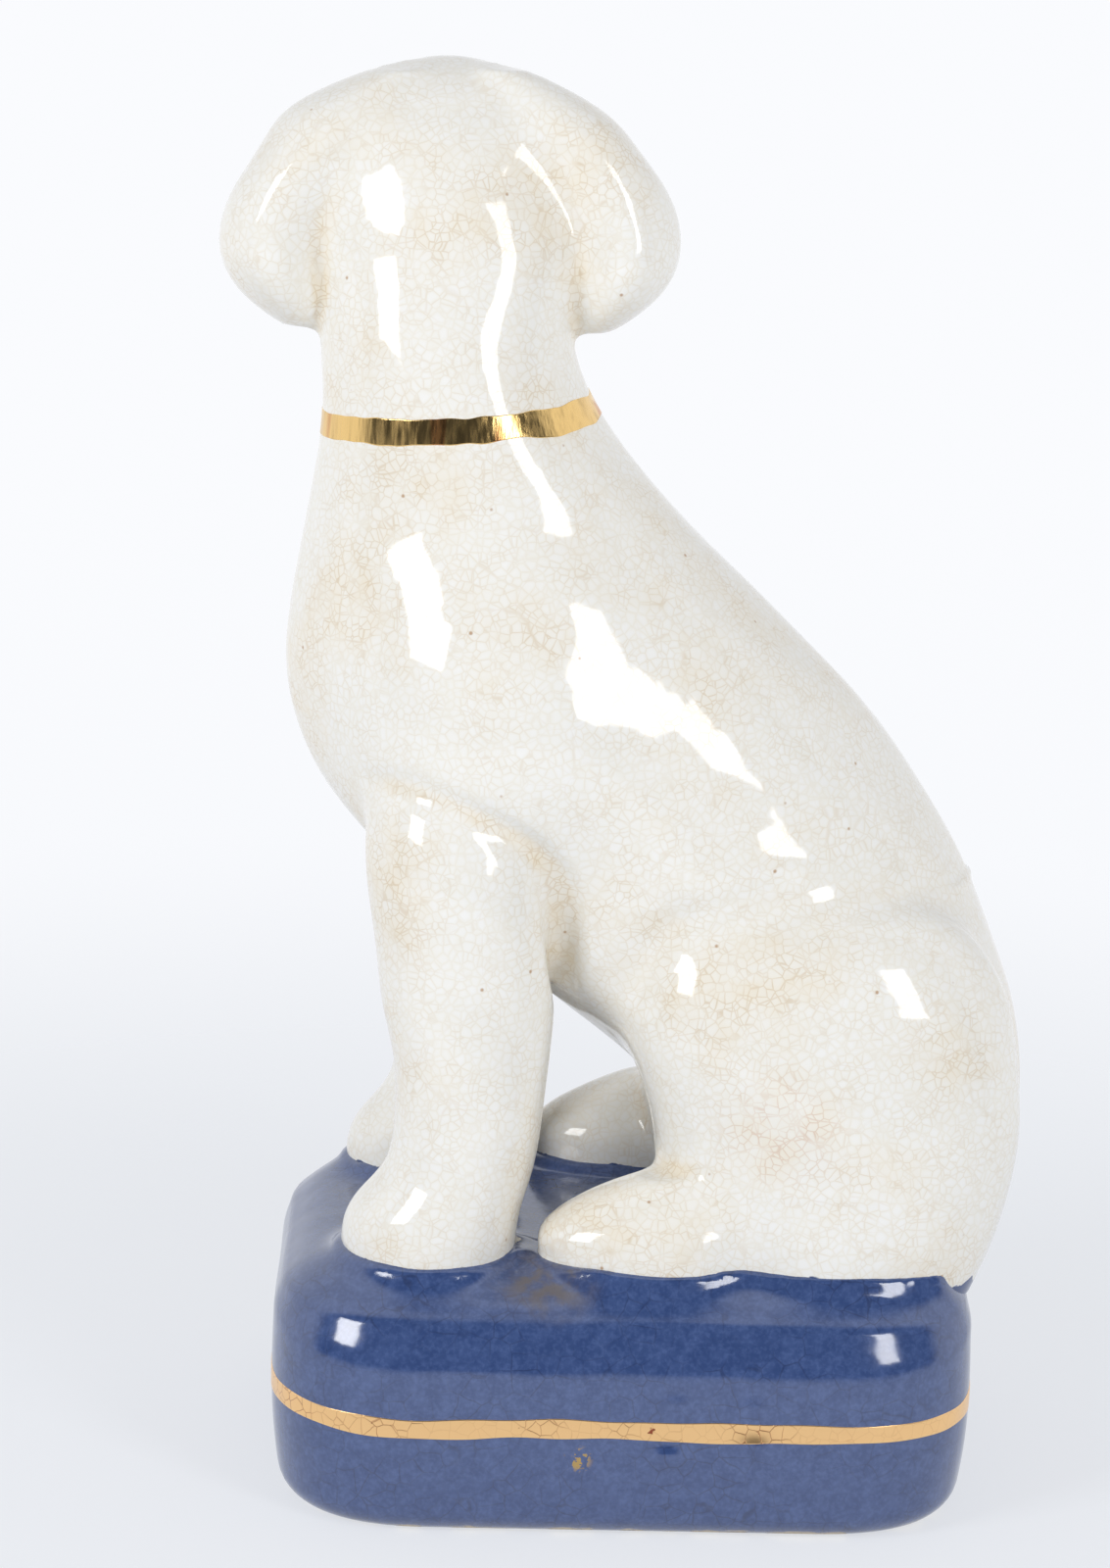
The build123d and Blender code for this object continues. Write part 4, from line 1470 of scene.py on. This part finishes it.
class POTTERY_OT_plinth(bpy.types.Operator):
    """Grow the blue cushion plinth with its pools of glaze"""

    bl_idname = "pottery.plinth"
    bl_label = "Plinth"

    def execute(self, context):
        """Models the hollow plinth and replaces its casting."""
        settings = context.scene.dog_plinth
        field = ClayField(PLINTH_LOW - FIELD_MARGIN, PLINTH_HIGH + FIELD_MARGIN, PLINTH_STEP)
        x, y, z = field.whole()
        model_dog(field)
        dog = field.depth
        shell = plinth_distance(x, y, z)
        waver = CUSHION_WAVER * (hand_waver(x, y, z, CUSHION_WAVER_LENGTH, CUSHION_SEED) + 1) / 2
        shell = shell + waver * soft_step(z, 0, 2 * PLINTH_FOOT_ROUND)
        shell = shell - mould_line(x, y, z)
        for place, level, height, half_width, half_height in DRIPS:
            drip = np.exp(-(((x - place) / half_width) ** 2) - ((z - level) / half_height) ** 2)
            shell = shell - height * drip * soft_step(-y, 0, PLINTH_HALF[1] / 2)
        waver = hand_waver(x, y, z, POOL_WAVER_LENGTH, POOL_SEED)
        rise = settings.pool_rise * (1 + POOL_WAVER_SHARE * waver)
        pool = np.maximum(dog - POOL_BODY, z - PLINTH_TOP - rise)
        pool = np.maximum(pool, outline_distance(x, y, POOL_INSET))
        shell = soft_union(shell, pool, POOL_FILLET)
        hollow = outline_distance(x, y, PLINTH_WALL + PLINTH_FOOT_DRAW_IN)
        hollow = np.maximum(hollow, z - (PLINTH_TOP - PLINTH_WALL))
        field.depth = np.maximum(shell, -hollow)
        plinth = field.mesh("plinth_glaze")
        glaze = cobalt_glaze(settings, context.scene.dog_gilding.gold_colour)
        dress(plinth, glaze, "cobalt_glaze", "plinth")
        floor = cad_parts["plinth_floor"]
        floor.data.materials.clear()
        floor.data.materials.append(bare_clay(settings))
        return {"FINISHED"}


class POTTERY_OT_gold_bands(bpy.types.Operator):
    """Brush the gold collar and the gold band round the plinth"""

    bl_idname = "pottery.gold_bands"
    bl_label = "Gold bands"

    def execute(self, context):
        """Wraps both bands on the glaze, so it needs the dog's skin and the plinth."""
        settings = context.scene.dog_gilding
        skin = bpy.data.objects.get("dog_skin")
        plinth = bpy.data.objects.get("plinth_glaze")
        if skin is None or plinth is None:
            raise RuntimeError("The dog's skin and the plinth come before the gold bands")
        climb = COLLAR_HIGH[2] - COLLAR_LOW[2] - settings.collar_width
        tilt = math.atan2(climb, COLLAR_HIGH[0] - COLLAR_LOW[0])
        middle = (COLLAR_LOW + COLLAR_HIGH) / 2
        sizes = (settings.collar_width, settings.thickness)
        collar = wrapped_band("collar_gold", skin, middle, tilt, *sizes, COLLAR_SEED)
        dress(collar, collar_gold(settings), "gilding", "collar_band")
        middle = (BAND_LOW + BAND_HIGH) / 2
        sizes = (settings.band_width, settings.thickness)
        band = wrapped_band("plinth_gold", plinth, middle, 0, *sizes, BAND_SEED)
        dress(band, band_gold(settings), "gilding", "plinth_gold_band")
        return {"FINISHED"}


class POTTERY_OT_face_enamel(bpy.types.Operator):
    """Lay the dark enamel of the eyes and nose"""

    bl_idname = "pottery.face_enamel"
    bl_label = "Eyes and nose"

    def execute(self, context):
        """Models both eyes and the nose and replaces their pads."""
        coats = dict.fromkeys(EYE_NODES, eye_enamel())
        coats["nose"] = nose_enamel()
        for node, coat in coats.items():
            low, high = node_box(node)
            middle, radii = pad_shape(node)
            field = ClayField(low - ENAMEL_MARGIN, high + ENAMEL_MARGIN, ENAMEL_STEP)
            field.add(Egg(middle, radii), ENAMEL_STEP)
            if node == "nose":
                for side in (-1, 1):
                    nostril = middle + radii * np.array(NOSTRIL_SHARES) * np.array((side, 1, 1))
                    field.scrape(Egg(nostril, NOSTRIL_RADII), NOSTRIL_BLEND)
            dress(field.mesh(node + "_enamel"), coat, "dark_enamel", node)
        return {"FINISHED"}


class POTTERY_OT_studio(bpy.types.Operator):
    """Set the floor, the softboxes, the backdrop and the camera"""

    bl_idname = "pottery.studio"
    bl_label = "Studio"

    def execute(self, context):
        """Builds the stage round the figure."""
        settings = context.scene.dog_stage
        context.scene.view_settings.view_transform = "Standard"
        pale_floor()
        for name, turn, lift, width, height, share in SOFTBOXES:
            softbox(name, turn, lift, width, height, settings.lamp_power * share)
        studio_world(context.scene)
        place_camera(context.scene, settings)
        return {"FINISHED"}


class POTTERY_PT_panel(bpy.types.Panel):
    """Lists the steps that build the figure, with their settings."""

    bl_idname = "POTTERY_PT_panel"
    bl_label = "Pottery dog"
    bl_space_type = "VIEW_3D"
    bl_region_type = "UI"
    bl_category = "Pottery dog"

    def draw(self, context):
        """Draws each step's settings above its button."""
        for operator, group in STEPS:
            box = self.layout.box()
            settings = getattr(context.scene, group) if group else None
            for name in settings.__annotations__ if settings else ():
                box.prop(settings, name)
            box.operator(operator.bl_idname)


STEPS = (
    (POTTERY_OT_dog_skin, "dog_glaze"),
    (POTTERY_OT_plinth, "dog_plinth"),
    (POTTERY_OT_gold_bands, "dog_gilding"),
    (POTTERY_OT_face_enamel, None),
    (POTTERY_OT_studio, "dog_stage"),
)
GROUPS = {
    "dog_glaze": DogGlazeSettings,
    "dog_plinth": PlinthSettings,
    "dog_gilding": GildingSettings,
    "dog_stage": StageSettings,
}
CLASSES = (*GROUPS.values(), *(operator for operator, _ in STEPS), POTTERY_PT_panel)


def register():
    """Registers the classes and hangs the settings on the scene."""
    for entry in CLASSES:
        bpy.utils.register_class(entry)
    for name, group in GROUPS.items():
        setattr(bpy.types.Scene, name, PointerProperty(type=group))


def unregister():
    """Takes the settings and classes away again."""
    for name in GROUPS:
        delattr(bpy.types.Scene, name)
    for entry in reversed(CLASSES):
        bpy.utils.unregister_class(entry)


def main():
    """Builds the whole figure."""
    register()
    bpy.ops.pottery.dog_skin()
    bpy.ops.pottery.plinth()
    bpy.ops.pottery.gold_bands()
    bpy.ops.pottery.face_enamel()
    bpy.ops.pottery.studio()


if __name__ == "__main__":
    main()
